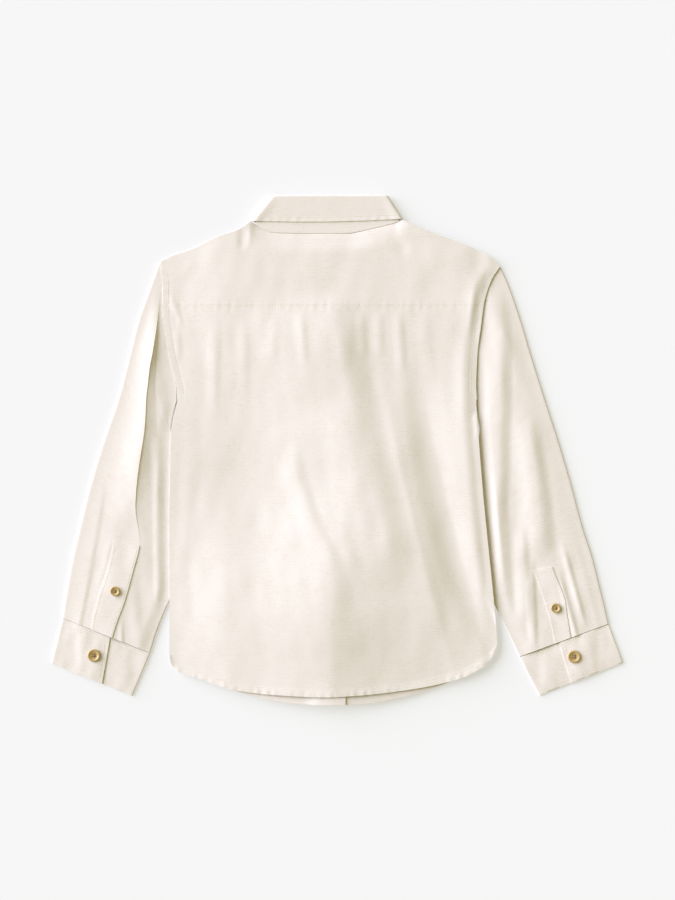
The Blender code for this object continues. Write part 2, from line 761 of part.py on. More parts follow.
def make_button(name, place, base, diameter, thick, steps, holes=True):
    """A sewn-through button: a dished disc with a round rim and four holes."""
    points, faces = [(place.x, place.y, base)], []
    for ring in BUTTON_RINGS:
        r, z = 0.5 * diameter * ring.radius, base + thick * ring.height
        for i in range(steps):
            angle = 2.0 * math.pi * i / steps
            points.append((place.x + r * math.cos(angle), place.y + r * math.sin(angle), z))
    points.append((place.x, place.y, base + thick * BUTTON_RINGS[-1].height))
    rings, last = len(BUTTON_RINGS), len(points) - 1
    for i in range(steps):
        j = (i + 1) % steps
        faces.append((0, 1 + j, 1 + i))
        for k in range(rings - 1):
            a, b = 1 + k * steps, 1 + (k + 1) * steps
            faces.append((a + i, a + j, b + j, b + i))
        a = 1 + (rings - 1) * steps
        faces.append((a + i, a + j, last))
    made = make_object(name, np.array(points), faces, HORN, HORN_ROUGHNESS)
    if holes:
        spread = HOLE_SPREAD * diameter
        for k in range(HOLES):
            angle = 2.0 * math.pi * (k + 0.5) / HOLES
            at = Point(place.x + spread * math.cos(angle), place.y + spread * math.sin(angle))
            cut_hole(made, f"{name}_hole_{k + 1}", at, base, HOLE_RADIUS * diameter, thick)
    return made


def cut_hole(made, name, at, base, radius, thick):
    """Cuts one thread hole through a button."""
    sides = HOLE_SIDES
    points = []
    for z in (base - thick, base + 2.0 * thick):
        for i in range(sides):
            angle = 2.0 * math.pi * i / sides
            points.append((at.x + radius * math.cos(angle), at.y + radius * math.sin(angle), z))
    faces = [tuple(range(sides))[::-1], tuple(range(sides, 2 * sides))]
    faces += [(i, (i + 1) % sides, sides + (i + 1) % sides, sides + i) for i in range(sides)]
    cutter = make_object(name, np.array(points), faces)
    cutter.hide_render = True
    cutter.display_type = "WIRE"
    cut = made.modifiers.new(name, "BOOLEAN")
    cut.object = cutter
    cut.operation = "DIFFERENCE"
    cut.solver = "EXACT"


def band_turn(x, y, out, low, high, wall, upward):
    """Points round a band's side fold, as outer and inner lists, without the two flat ends."""
    centre, radius = 0.5 * (low + high), 0.5 * (high - low)
    outer, inner = [], []
    for i in range(1, FOLD_STEPS):
        angle = math.pi * (i / FOLD_STEPS - 0.5) * (1.0 if upward else -1.0)
        for r, made in ((radius, outer), (radius - wall, inner)):
            reach = r * math.cos(angle)
            made.append((x + out[0] * reach, y + out[1] * reach, centre + r * math.sin(angle)))
    return outer, inner


def outward(a, b, sign):
    """The unit vector square to the line from a to b, on its left for sign 1."""
    length = math.hypot(b.x - a.x, b.y - a.y)
    return -(b.y - a.y) / length * sign, (b.x - a.x) / length * sign


def mix(a, b, t):
    """The place a share t of the way from a to b."""
    return Point(a.x + (b.x - a.x) * t, a.y + (b.y - a.y) * t)


def inset(at, out, distance):
    """The place a distance back from another against the way out."""
    return Point(at.x - out[0] * distance, at.y - out[1] * distance)


class Band(NamedTuple):
    """A collar band that goes from one front end round the back of the neck to the other."""

    fold_left: tuple
    fold_right: tuple
    front_left: tuple
    front_right: tuple
    low: float
    high: float


def collar_band(name, band, back_low, front_low):
    """Makes a band: each pair of places in it is its top edge and its lower edge.

    back_low and front_low give the lower edge's Y from a place on the straight line between its
    ends and how far along it the place is, from 0 to 1.
    """
    out_left = outward(*band.fold_left, -1.0)
    out_right = outward(*band.fold_right, 1.0)
    radius = 0.5 * (band.high - band.low)
    low_left = inset(band.fold_left[1], out_left, radius)
    low_right = inset(band.fold_right[1], out_right, radius)
    outer_rows, inner_rows = [], []
    for i in range(COLLAR_ROWS + 1):
        t = i / COLLAR_ROWS
        left = inset(mix(*band.fold_left, t), out_left, radius)
        right = inset(mix(*band.fold_right, t), out_right, radius)
        ends = mix(*band.front_left, t), mix(*band.front_right, t)
        outer, inner = [], []
        for k in range(COLLAR_FRONT_COLUMNS):
            s = k / (COLLAR_FRONT_COLUMNS - 1)
            at = mix(ends[0], left, s)
            straight = mix(band.front_left[1], low_left, s)
            y = at.y + t * (front_low(straight, 1.0 - s) - straight.y)
            outer.append((at.x, y, band.low))
            inner.append((at.x, y, band.low + WALL))
        turned = band_turn(left.x, left.y, out_left, band.low, band.high, WALL, True)
        outer += turned[0]
        inner += turned[1]
        for k in range(COLLAR_BACK_COLUMNS):
            s = k / (COLLAR_BACK_COLUMNS - 1)
            at = mix(left, right, s)
            straight = mix(low_left, low_right, s)
            y = at.y + t * (back_low(straight, s) - straight.y)
            outer.append((at.x, y, band.high))
            inner.append((at.x, y, band.high - WALL))
        turned = band_turn(right.x, right.y, out_right, band.low, band.high, WALL, False)
        outer += turned[0]
        inner += turned[1]
        for k in range(COLLAR_FRONT_COLUMNS):
            s = k / (COLLAR_FRONT_COLUMNS - 1)
            at = mix(right, ends[1], s)
            straight = mix(low_right, band.front_right[1], s)
            y = at.y + t * (front_low(straight, s) - straight.y)
            outer.append((at.x, y, band.low))
            inner.append((at.x, y, band.low + WALL))
        outer_rows.append(outer)
        inner_rows.append(inner)
    make_wall(name, np.array(outer_rows, float), np.array(inner_rows, float))


def make_leaf():
    """The collar leaf: its back lies on top, and its points lie under the fronts."""
    band = Band(
        (LEAF_FOLD_LEFT, LEAF_EDGE_LEFT),
        (LEAF_FOLD_RIGHT, LEAF_EDGE_RIGHT),
        (LEAF_FRONT_TOP_LEFT, LEAF_POINT_LEFT),
        (LEAF_FRONT_TOP_RIGHT, LEAF_POINT_RIGHT),
        0.0,
        3.0 * LAYER + WALL,
    )
    collar_band(
        "collar_leaf",
        band,
        lambda at, s: at.y - LEAF_EDGE_SAG * math.sin(math.pi * s),
        lambda at, s: at.y,
    )


def make_stand():
    """The collar stand, inside the leaf, from the neck seam up to where the leaf turns."""
    left_top = Point(LEAF_FOLD_LEFT.x + STAND_INSET, LEAF_FOLD_LEFT.y - STAND_TOP_INSET)
    right_top = Point(LEAF_FOLD_RIGHT.x - STAND_INSET, LEAF_FOLD_RIGHT.y - STAND_TOP_INSET)
    left_low = Point(LEAF_EDGE_LEFT.x + STAND_INSET, LEAF_EDGE_LEFT.y - STAND_LOW_INSET)
    right_low = Point(LEAF_EDGE_RIGHT.x - STAND_INSET, LEAF_EDGE_RIGHT.y - STAND_LOW_INSET)
    front_y = min(p.y for p in FRONT_NECK)
    middle = float(centre_x(np.array(front_y)))
    ends = middle - 0.5 * STAND_END_GAP, middle + 0.5 * STAND_END_GAP
    low_y = front_y + STAND_FRONT_CLEAR
    band = Band(
        (left_top, left_low),
        (right_top, right_low),
        (Point(ends[0], LEAF_FRONT_TOP_LEFT.y), Point(ends[0], low_y)),
        (Point(ends[1], LEAF_FRONT_TOP_RIGHT.y), Point(ends[1], low_y)),
        LAYER,
        2.0 * LAYER + WALL,
    )

    def to_back_neck(at, s):
        return min(float(y_on(BACK_NECK, at.x)) + STAND_NECK_CLEAR, at.y)

    def to_front_neck(at, s):
        return min(float(y_on(FRONT_NECK, at.x)) + STAND_FRONT_CLEAR, at.y)

    collar_band("collar_stand", band, to_back_neck, to_front_neck)


def make_cuff(name, cuff, side):
    """A cuff: a flat band whose upper lap lies over its under lap and buttons to it."""
    radius = 0.5 * (CUFF_WALL * 2.0 + GAP)
    out = outward(cuff.outer_seam, cuff.outer_edge, side)
    back = outward(cuff.inner_seam, cuff.inner_edge, -side)
    outer_rows, inner_rows = [], []
    low_top, high = CUFF_WALL + GAP, 2.0 * (CUFF_WALL + GAP)
    for i in range(CUFF_ROWS + 1):
        t = i / CUFF_ROWS
        lap = cuff.lap_seam + (cuff.lap_edge - cuff.lap_seam) * t
        outer_edge = mix(cuff.outer_seam, cuff.outer_edge, t)
        inner_edge = mix(cuff.inner_seam, cuff.inner_edge, t)
        start = inset(outer_edge, out, radius)
        end = inset(inner_edge, back, radius)
        hidden = lap - LAP_HIDDEN
        outer, inner = [], []
        for k in range(UPPER_LAP_STEPS + 1):
            v = lap * (1.0 - k / UPPER_LAP_STEPS)
            at = mix(start, end, v)
            rise = ease(hidden - LAP_RAMP, hidden - LAP_CLEAR, v)
            under = low_top + (high - low_top) * rise
            outer.append((at.x, at.y, under + CUFF_WALL))
            inner.append((at.x, at.y, under))
        turned = band_turn(start.x, start.y, out, 0.0, low_top + CUFF_WALL, CUFF_WALL, False)
        outer += turned[0]
        inner += turned[1]
        for k in range(CUFF_UNDER_STEPS + 1):
            at = mix(start, end, k / CUFF_UNDER_STEPS)
            outer.append((at.x, at.y, 0.0))
            inner.append((at.x, at.y, CUFF_WALL))
        turned = band_turn(end.x, end.y, back, 0.0, low_top + CUFF_WALL, CUFF_WALL, True)
        outer += turned[0]
        inner += turned[1]
        for k in range(UNDER_LAP_STEPS + 1):
            at = mix(start, end, 1.0 + (hidden - 1.0) * k / UNDER_LAP_STEPS)
            outer.append((at.x, at.y, low_top + CUFF_WALL))
            inner.append((at.x, at.y, low_top))
        outer_rows.append(outer)
        inner_rows.append(inner)
    make_wall(name, np.array(outer_rows, float), np.array(inner_rows, float))


def make_sleeve(name, sections, folds, side, armhole, strip_from, button):
    """A sleeve, the strip over its slit, and the strip's button."""
    sleeve = Sleeve(f"sleeve_{name}", sections, folds, side, armhole)
    sleeve.build()
    sleeve.build_strip(f"placket_{name}", strip_from)
    away = np.hypot(sleeve.strip_x - button.x, sleeve.strip_y - button.y)
    base = float(sleeve.strip_top[away < 2.0 * PLACKET_BUTTON].max()) + GAP
    title = f"placket_button_{name}"
    make_button(title, button, base, PLACKET_BUTTON, BUTTON_THICK, PLACKET_BUTTON_SIDES)


def front_button_base(place):
    """Height of a front button's underside, with its face just under the fronts."""
    angle = np.linspace(0.0, 2.0 * math.pi, FRONT_BUTTON_SIDES)
    x = place.x + 0.5 * FRONT_BUTTON * np.cos(angle)
    y = place.y + 0.5 * FRONT_BUTTON * np.sin(angle)
    under = float(front_under(x, y, False).min())
    return max(under - FRONT_BUTTON_THICK - 2.0 * GAP, 0.0)


def make_fronts():
    """Both fronts, the left one lapping over the right one at the centre, and their buttons."""
    kept = []
    for u in torso_columns():
        if min(abs(u - skip) for skip in FRONT_SKIPS) > 0.001:
            kept.append(u)
    make_front("front_left", [u for u in kept if u <= 0.5] + [0.5 + FRONT_OVERLAP], True)
    make_front("front_right", [0.5 - FRONT_OVERLAP] + [u for u in kept if u >= 0.5], False)
    for i, place in enumerate(front_button_places()):
        title = f"front_button_{i + 1}"
        sizes = FRONT_BUTTON, FRONT_BUTTON_THICK, FRONT_BUTTON_SIDES
        make_button(title, place, front_button_base(place), *sizes, holes=False)


def main():
    """Makes every piece of the shirt."""
    clear_scene()
    make_back()
    make_yoke()
    make_fronts()
    strip, button = STRIP_FROM_LEFT, PLACKET_BUTTON_LEFT
    make_sleeve("left", SLEEVE_LEFT, SLEEVE_LEFT_FOLDS, -1, ARMHOLE_LEFT, strip, button)
    strip, button = STRIP_FROM_RIGHT, PLACKET_BUTTON_RIGHT
    make_sleeve("right", SLEEVE_RIGHT, SLEEVE_RIGHT_FOLDS, 1, ARMHOLE_RIGHT, strip, button)
    base = 2.0 * (CUFF_WALL + GAP) + CUFF_WALL + GAP
    for name, cuff, side in (("left", CUFF_LEFT, -1), ("right", CUFF_RIGHT, 1)):
        make_cuff(f"cuff_{name}", cuff, side)
        title = f"cuff_button_{name}"
        make_button(title, cuff.button, base, CUFF_BUTTON, BUTTON_THICK, CUFF_BUTTON_SIDES)
    make_leaf()
    make_stand()


if __name__ == "__main__":
    main()
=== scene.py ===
"""A child's long-sleeve shirt in cream cotton, laid flat with its back up.

Sizes are millimetres, with +X to the right, +Y towards the collar and +Z up from the surface
that the shirt lies on. Where a mesh is made, MIDDLE_Y moves the middle of the shirt's length to
the origin and MM turns the sizes into metres.
"""

import json
import logging
import math
from dataclasses import dataclass, field
from enum import Enum
from typing import Callable, NamedTuple, Sequence, Union

import bpy
import numpy as np
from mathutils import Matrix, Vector

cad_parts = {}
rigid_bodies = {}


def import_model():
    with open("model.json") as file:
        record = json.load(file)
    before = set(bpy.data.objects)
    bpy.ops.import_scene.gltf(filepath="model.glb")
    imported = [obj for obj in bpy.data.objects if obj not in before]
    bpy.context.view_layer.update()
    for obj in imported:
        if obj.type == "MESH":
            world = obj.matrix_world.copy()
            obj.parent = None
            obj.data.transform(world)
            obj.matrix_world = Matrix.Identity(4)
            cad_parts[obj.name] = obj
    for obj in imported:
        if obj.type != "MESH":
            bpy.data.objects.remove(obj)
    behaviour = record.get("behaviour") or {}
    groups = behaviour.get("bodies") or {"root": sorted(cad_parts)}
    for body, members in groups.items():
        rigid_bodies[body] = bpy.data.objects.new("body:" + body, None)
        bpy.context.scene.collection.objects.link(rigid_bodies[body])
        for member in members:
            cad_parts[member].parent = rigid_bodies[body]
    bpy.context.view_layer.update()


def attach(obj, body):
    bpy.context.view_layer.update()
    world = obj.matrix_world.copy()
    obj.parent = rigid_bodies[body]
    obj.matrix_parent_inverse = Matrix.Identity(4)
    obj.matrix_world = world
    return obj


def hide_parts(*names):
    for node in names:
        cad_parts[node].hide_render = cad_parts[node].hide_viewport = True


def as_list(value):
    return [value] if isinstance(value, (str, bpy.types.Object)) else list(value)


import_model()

MM = 0.001
MIDDLE_Y = -3.75
LOG = logging.getLogger("shirt")
Number = Union[float, np.ndarray]


# Faces that meet at more than this many degrees shade apart, so that a rim stays off the face
SHARP_ANGLE = 38.0
# A straight slope's crest and foot are rounded over these shares of its width
CREST_SOFT = 0.06
FOOT_SOFT = 0.05
# The thread in the buttons
BROWN = (0.42, 0.27, 0.12)
DARK_BROWN = (0.22, 0.12, 0.05)


class Side(Enum):
    """Which side of the shirt a piece is on, as the sign of its X."""

    LEFT = -1
    RIGHT = 1

    @property
    def word(self) -> str:
        """The side's name in a piece's name."""
        return self.name.lower()


class Spot(NamedTuple):
    """A place on the surface that the shirt lies on."""

    x: float
    y: float


class Section(NamedTuple):
    """One section of a sleeve, from its outer fold to its inner fold.

    crease and strip are fractions of the way from the outer fold: the long crease, which runs on
    as the sleeve's slit, and the far edge of the strip that is sewn over the slit.
    """

    outer_x: float
    outer_y: float
    inner_x: float
    inner_y: float
    crease: float
    strip: float


class Fold(NamedTuple):
    """A soft ridge (or a trough where height is below zero) along a bowed line.

    west and east are the widths of its two slopes, and fade is the share of its length that
    each end takes to die away.
    """

    x0: float
    y0: float
    x1: float
    y1: float
    bow: float
    west: float
    east: float
    height: float
    fade: float


class CuffPlan(NamedTuple):
    """A cuff seen from above: its corners, how far its upper lap reaches, and its button."""

    outer_seam: Spot
    outer_edge: Spot
    inner_seam: Spot
    inner_edge: Spot
    lap_seam: float
    lap_edge: float
    button: Spot

    def at(self, t: float) -> tuple[Spot, Spot, float]:
        """Gives one row of the cuff.

        Args:
            t: The share of the way from the seam to the edge.

        Returns:
            Its outer end, its inner end, and the share of it that the upper lap covers.
        """
        start = mix(self.outer_seam, self.outer_edge, t)
        end = mix(self.inner_seam, self.inner_edge, t)
        return start, end, self.lap_seam + (self.lap_edge - self.lap_seam) * t


def table_of(kind: type, *table: Sequence[float]) -> tuple:
    """Makes spots, sections or folds of a table's rows."""
    return tuple(kind(*row) for row in table)


# Outline of the body and the sleeves
NECK_LEFT = Spot(-85.5, 224.4)
NECK_RIGHT = Spot(66.5, 225.6)
ARMHOLE_LEFT = table_of(
    Spot,
    (-175.5, 184.5), (-173.7, 156.5), (-173.7, 135.5), (-170.5, 108.9), (-164.2, 77.5),
    (-159.4, 58.5), (-158.5, 46.5),
)
SIDE_LEFT = table_of(
    Spot,
    (-158.5, 46.5), (-165.5, 6.5), (-165.7, -13.5), (-167, -73.5), (-166.5, -153.5),
    (-167, -205.5), (-166, -213.5),
)
ARMHOLE_RIGHT = table_of(
    Spot,
    (163.2, 179.8), (154.5, 165.9), (148, 145.5), (144.3, 121.5), (140.5, 89.9), (139.3, 58.5),
    (139.5, 46.5),
)
SIDE_RIGHT = table_of(
    Spot,
    (139.5, 46.5), (139.7, 34.5), (141.5, 10.5), (146.9, -55.5), (150.5, -91.5), (157.1, -157),
    (160.1, -195.9), (158, -206),
)
HEM = table_of(
    Spot,
    (-166, -213.5), (-162.5, -220.5), (-155.5, -225.5), (-136.5, -231.5), (-100.5, -243),
    (-59.5, -247.5), (-13.5, -249.5), (21.5, -248), (83.5, -240.7), (122.5, -231.5),
    (145.1, -220.3), (153.1, -213.1), (158, -206),
)
FRONT_HEM = table_of(
    Spot,
    (-166, -211.5), (-155.5, -223.5), (-136.5, -229.5), (-100.5, -243.5), (-70.5, -251.5),
    (-44.5, -255.8), (-13.5, -257.5), (21.5, -257), (58.5, -251.5), (83.5, -245), (111.5, -235.5),
    (145.1, -218.3), (158, -204),
)
SHOULDER_LEFT = table_of(
    Spot,
    (-175.5, 184.5), (-165.5, 189.5), (-142.5, 197.5), (-119.9, 208.9), (-97.5, 216.5), NECK_LEFT,
)
SHOULDER_RIGHT = table_of(
    Spot,
    NECK_RIGHT, (89.5, 215.5), (113.5, 207), (143, 195), (154.5, 188.7), (163.2, 179.8),
)
BACK_NECK = table_of(
    Spot,
    NECK_LEFT, (-63.5, 213.5), (-30.5, 212.7), (8.5, 212.7), (31.5, 216.5), (50.5, 221),
    NECK_RIGHT,
)
FRONT_NECK = table_of(
    Spot,
    NECK_LEFT, (-76, 206), (-60, 184), (-36, 166.5), (-9, 160), (18, 166.5), (42, 184), (57, 206),
    NECK_RIGHT,
)
SLEEVE_LEFT = table_of(
    Section,
    (-175.5, 184.5, -159.6, 46.5, 0.12, 0.06), (-185.5, 158.5, -163.6, 30.5, 0.3, 0.15),
    (-197.5, 126.5, -165.2, 18.5, 0.38, 0.2), (-207.5, 88.5, -158.5, -1.5, 0.365, 0.2),
    (-218, 48.5, -152.5, -29.5, 0.398, 0.22), (-232.5, 6.5, -149.5, -58.5, 0.42, 0.25),
    (-245.5, -35.5, -148.5, -83.5, 0.46, 0.28), (-258, -85.5, -150, -109.5, 0.57, 0.33),
    (-264, -111.5, -157, -133.5, 0.572, 0.336), (-269.5, -141.5, -171, -163.5, 0.592, 0.323),
    (-272.5, -159.5, -180, -186.5, 0.58, 0.319), (-273.8, -171.5, -186, -206, 0.566, 0.322),
)
SLEEVE_RIGHT = table_of(
    Section,
    (163.2, 179.5, 140.6, 46.5, 0.12, 0.06), (172.5, 158.5, 141.4, 30.5, 0.25, 0.15),
    (184.5, 124.5, 143.2, 16.5, 0.43, 0.24), (194.5, 91.5, 137.5, -3.5, 0.47, 0.27),
    (208, 48.5, 132, -31.5, 0.52, 0.3), (221.5, 6.5, 130.5, -60.5, 0.57, 0.33),
    (234, -35.5, 131.5, -85.5, 0.62, 0.36), (245.5, -78.5, 135.5, -109.5, 0.6, 0.38),
    (256, -111.5, 143.5, -135.5, 0.526, 0.36), (263.5, -141.5, 158, -159, 0.54, 0.351),
    (268, -159.5, 170.5, -184.5, 0.564, 0.385), (272, -177, 182.5, -210, 0.603, 0.425),
)

# Folds of the cloth: the broad ones are also in the solids
BROAD_FOLDS = table_of(
    Fold,
    (-8.5, 150, 48.5, -93.5, -3, 36, 20, 2.6, 0.25),
    (61.5, 96.5, 136.5, -203.5, -24, 30, 22, 2.4, 0.25),
    (110.5, 126.5, 146.5, -163.5, 0, 34, 16, 1.5, 0.25),
    (21.5, -78.5, -4.5, -330, 0, 120, 85, 3.2, 0.3),
    (55.5, -193.5, 66.5, -262, 0, 18, 16, 1.4, 0.4),
    (-146.5, 150.5, -152.5, -30, 0, 14, 16, 1.1, 0.3),
    (-96.5, 120, -110.5, -150, 10, 34, 26, 1, 0.35), (-52.5, 40, 2.5, -100, 0, 20, 16, 0.9, 0.35),
)
BACK_FOLDS = table_of(
    Fold,
    (-9.5, 162, 64.5, -152.5, -6, 130, 32, 3.5, 0.2), (-4, 50, 24, -105, 4, 130, 24, 1.1, 0.25),
    (81, 110, 160, -214, -20, 20, 26, -1.3, 0.25), (127.5, 150, 151.5, -190, -2, 34, 16, 1, 0.22),
    (122.5, -250, 172, -190, 0, 15, 14, 0.6, 0.3), (-46.5, 8, 6, -128, -9, 20, 12, 0.9, 0.25),
    (-0.5, -72.5, 22.5, -124.5, -3, 14, 12, 0.5, 0.35),
    (-146.5, 150, -151.5, -120, 1, 12, 14, 0.6, 0.25),
    (-120.5, 136, -123.5, 20, 0, 11, 8, 0.6, 0.3), (-95.5, 138, -92.5, 30, 2, 10, 8, 0.35, 0.35),
    (-61.5, 136, -64, 82, 0, 9, 8, 0.3, 0.35), (-36, 138, -31, 76, 0, 9, 6, 0.4, 0.3),
    (24.5, 138, 27.5, 84, 0, 9, 6.5, 0.5, 0.3), (41.5, 138, 43.5, 86, 0, 8, 8, 0.45, 0.3),
    (61.5, 140, 66, 66, 0, 9, 7, 0.55, 0.3), (83.5, 138, 96, 60, 0, 12, 10, 0.3, 0.35),
    (-146.5, -30, -150.5, -200, -8, 16, 12, 0.7, 0.3),
    (-104.5, -40, -100.5, -170, 0, 30, 24, 0.2, 0.35), (118, 222, 141, 104, 0, 44, 28, 1.6, 0.3),
    (138.5, 166, 131.5, 104, 0, 4, 4.5, 0.5, 0.35),
)
# Short creases that the armholes' seams draw up
PINCHES = table_of(
    Fold,
    (-165.5, 154, -159.5, 128, 0, 3.6, 3.2, 0.5, 0.3),
    (-161, 150, -155, 116, 0, 3.6, 3.2, 0.4, 0.3), (-159, 122, -157.5, 84, 0, 3.8, 4.2, 0.3, 0.35),
    (148.5, 160, 141.5, 96, 0, 4.5, 4, 0.45, 0.3), (153.5, 136, 147.5, 84, 0, 4, 3.6, 0.4, 0.3),
)
# The widest folds of the back, with straight slopes
BACK_CRESTS = table_of(
    Fold,
    (-5.5, -20, -8.5, -460, 0, 196, 108, 12.6, 0.34), (42, 90, 136, -282, -8, 70, 36, 5, 0.3),
)
YOKE_FOLDS = table_of(
    Fold,
    (-86.5, 226, -86.5, 200, 0, 2.2, 3, 0.4, 0.3), (-93.5, 220, -94.5, 194, 0, 6, 6, -0.5, 0.35),
    (48, 214, 72, 188, 3, 11, 9, -0.5, 0.35), (56, 225, 67, 214, 0, 2.6, 2.6, 0.5, 0.3),
    (-140, 188, -162, 160, 0, 10, 9, 0.3, 0.35),
)
SLEEVE_LEFT_FOLDS = table_of(
    Fold,
    (-179.5, 30, -175.5, -175, 0, 8, 9, 0.7, 0.2),
    (-230.5, -25, -264.5, -215, 2, 24, 2.6, 1.3, 0.22),
    (-221.5, -84, -240.5, -150, 0, 6, 4, 0.3, 0.35),
    (-212.5, 60, -240.5, -60, 0, 20, 14, 0.4, 0.3),
    (-214.5, -164, -214.5, -240, 0, 5, 3.5, 0.5, 0.35),
    (-183.5, 140, -190.5, 60, 0, 6, 5, 0.3, 0.35), (-205.5, -120, -196.5, -215, 0, 9, 8, 0.4, 0.3),
)
SLEEVE_RIGHT_FOLDS = table_of(
    Fold,
    (164, 176, 160, -60, 1, 20, 14, 1.8, 0.16), (159.5, -20, 163, -160, 0, 12, 13, 2, 0.3),
    (187.5, 50, 207.5, -128, 2, 24, 16, 2.2, 0.25), (207.5, 60, 249.5, -120, 3, 26, 14, 1.2, 0.25),
    (224.5, -92, 250.5, -186, 0, 6, 3, 1.1, 0.3), (220.5, -120, 244.5, -206, 0, 6, 3, 1, 0.3),
    (236.5, -84, 266.5, -196, 0, 6, 4, 0.7, 0.3), (183.5, -70, 190.5, -190, 0, 13, 8, 1.1, 0.3),
    (193.5, -108, 197.5, -212, 0, 8, 6, 1, 0.3), (170.5, -60, 172.5, -176, 0, 8, 7, 0.4, 0.3),
    (242.5, 6, 256.5, -92, 0, 6, 5, 0.3, 0.35),
)


def ease(start: float, end: float, at: Number) -> np.ndarray:
    """Gives a value that goes smoothly from 0 at start to 1 at end."""
    s = np.clip((np.asarray(at, float) - start) / (end - start), 0.0, 1.0)
    return s * s * (3.0 - 2.0 * s)


def higher(a: Number, b: Number, soft: Number) -> np.ndarray:
    """Gives the higher of two heights, rounded where they cross."""
    return 0.5 * (a + b + np.sqrt((a - b) ** 2 + soft * soft))


def through(keys: Sequence[float], values: Sequence[float], at: Number) -> np.ndarray:
    """Gives the height at a place on a smooth line through points, without overshoot.

    Args:
        keys: Where the points are.
        values: The height of each point.
        at: The place or places to give the height for.

    Returns:
        The height at each place.
    """
    order = np.argsort(keys)
    k, v = np.asarray(keys, float)[order], np.asarray(values, float)[order]
    run = np.diff(k)
    rise = np.diff(v) / run
    slope = np.concatenate([rise[:1], np.zeros(len(rise) - 1), rise[-1:]])
    same = rise[:-1] * rise[1:] > 0.0
    slope[1:-1][same] = 2.0 * (rise[:-1] * rise[1:])[same] / (rise[:-1] + rise[1:])[same]
    at = np.clip(np.asarray(at, float), k[0], k[-1])
    i = np.clip(np.searchsorted(k, at, side="right") - 1, 0, len(run) - 1)
    s = (at - k[i]) / run[i]
    start = (1.0 + 2.0 * s) * (1.0 - s) ** 2 * v[i] + s * (1.0 - s) ** 2 * run[i] * slope[i]
    return start + s * s * (3.0 - 2.0 * s) * v[i + 1] + s * s * (s - 1.0) * run[i] * slope[i + 1]


def x_on(spots: Sequence[Spot], y: Number) -> np.ndarray:
    """Gives X on a line of spots at a given Y."""
    return through([p.y for p in spots], [p.x for p in spots], y)


def y_on(spots: Sequence[Spot], x: Number) -> np.ndarray:
    """Gives Y on a line of spots at a given X."""
    return through([p.x for p in spots], [p.y for p in spots], x)


def fold_height(
    folds: Sequence[Fold], x: Number, y: Number, straight: bool = False
) -> np.ndarray:
    """Adds up the height of a table of folds.

    Args:
        folds: The table.
        x: Where, across.
        y: Where, towards the collar.
        straight: Whether the slopes are straight, with a narrow crest, and not soft all over.

    Returns:
        The height at each place.
    """
    total = np.zeros(np.broadcast(x, y).shape)
    for f in folds:
        length = math.hypot(f.x1 - f.x0, f.y1 - f.y0)
        along_x, along_y = (f.x1 - f.x0) / length, (f.y1 - f.y0) / length
        s = ((x - f.x0) * along_x + (y - f.y0) * along_y) / length
        off = (x - f.x0) * -along_y + (y - f.y0) * along_x - f.bow * 4.0 * s * (1.0 - s)
        width = np.where(off > 0.0, f.east, f.west)
        slope = 0.5 * (1.0 + np.cos(math.pi * np.clip(np.abs(off) / width, 0.0, 1.0)))
        if straight:
            crest = 1.0 + CREST_SOFT - np.sqrt((off / width) ** 2 + CREST_SOFT**2)
            slope = higher(crest, 0.0, FOOT_SOFT)
        total = total + f.height * slope * ease(0.0, f.fade, s) * ease(0.0, f.fade, 1.0 - s)
    return total


def mix(a: Spot, b: Spot, share: float) -> Spot:
    """Gives the spot a share of the way from one spot to another."""
    return Spot(a.x + (b.x - a.x) * share, a.y + (b.y - a.y) * share)


def outward(a: Spot, b: Spot, sign: float) -> Spot:
    """Gives the unit vector square to the line between two spots."""
    length = math.hypot(b.x - a.x, b.y - a.y)
    return Spot(-(b.y - a.y) / length * sign, (b.x - a.x) / length * sign)


def inset(at: Spot, out: Spot, distance: float) -> Spot:
    """Gives the spot a distance back from another, against the way out."""
    return Spot(at.x - out.x * distance, at.y - out.y * distance)


@dataclass(frozen=True)
class Ripples:
    """The small uneven waves that pressed cotton keeps, the same on each run."""

    seed: int = 11
    waves: int = 26
    shortest: float = 16.0
    longest: float = 60.0
    height: float = 0.075
    spread: float = 0.55
    uneven: tuple = (0.5, 1.5)

    def at(self, x: Number, y: Number) -> np.ndarray:
        """Gives the height of the waves.

        Args:
            x: Where, across.
            y: Where, towards the collar.

        Returns:
            The height at each place, above and below zero.
        """
        random = np.random.default_rng(self.seed)
        total = np.zeros(np.broadcast(x, y).shape)
        for _ in range(self.waves):
            length = random.uniform(self.shortest, self.longest)
            way = random.normal(0.0, self.spread)
            turn = random.uniform(0.0, 2.0 * math.pi)
            size = self.height * length / self.longest * random.uniform(*self.uneven)
            across = x * math.cos(way) + y * math.sin(way)
            total = total + size * np.sin(2.0 * math.pi * across / length + turn)
        return total


@dataclass(frozen=True)
class Pucker:
    """The short waves that a row of stitching draws up beside it."""

    height: float = 0.16
    length: float = 7.5
    reach: float = 7.0
    seed: int = 5
    waves: int = 4
    uneven: tuple = (0.7, 1.6)

    def at(self, along: Number, away: Number) -> np.ndarray:
        """Gives the height of the waves.

        Args:
            along: How far along the stitching.
            away: The distance from it.

        Returns:
            The height at each place.
        """
        random = np.random.default_rng(self.seed)
        total = np.zeros(np.broadcast(along, away).shape)
        for _ in range(self.waves):
            length = self.length * random.uniform(*self.uneven)
            turn = random.uniform(0.0, 2.0 * math.pi)
            total = total + np.sin(2.0 * math.pi * along / length + turn)
        return 0.5 * self.height * total * (1.0 - ease(0.0, self.reach, np.abs(away)))


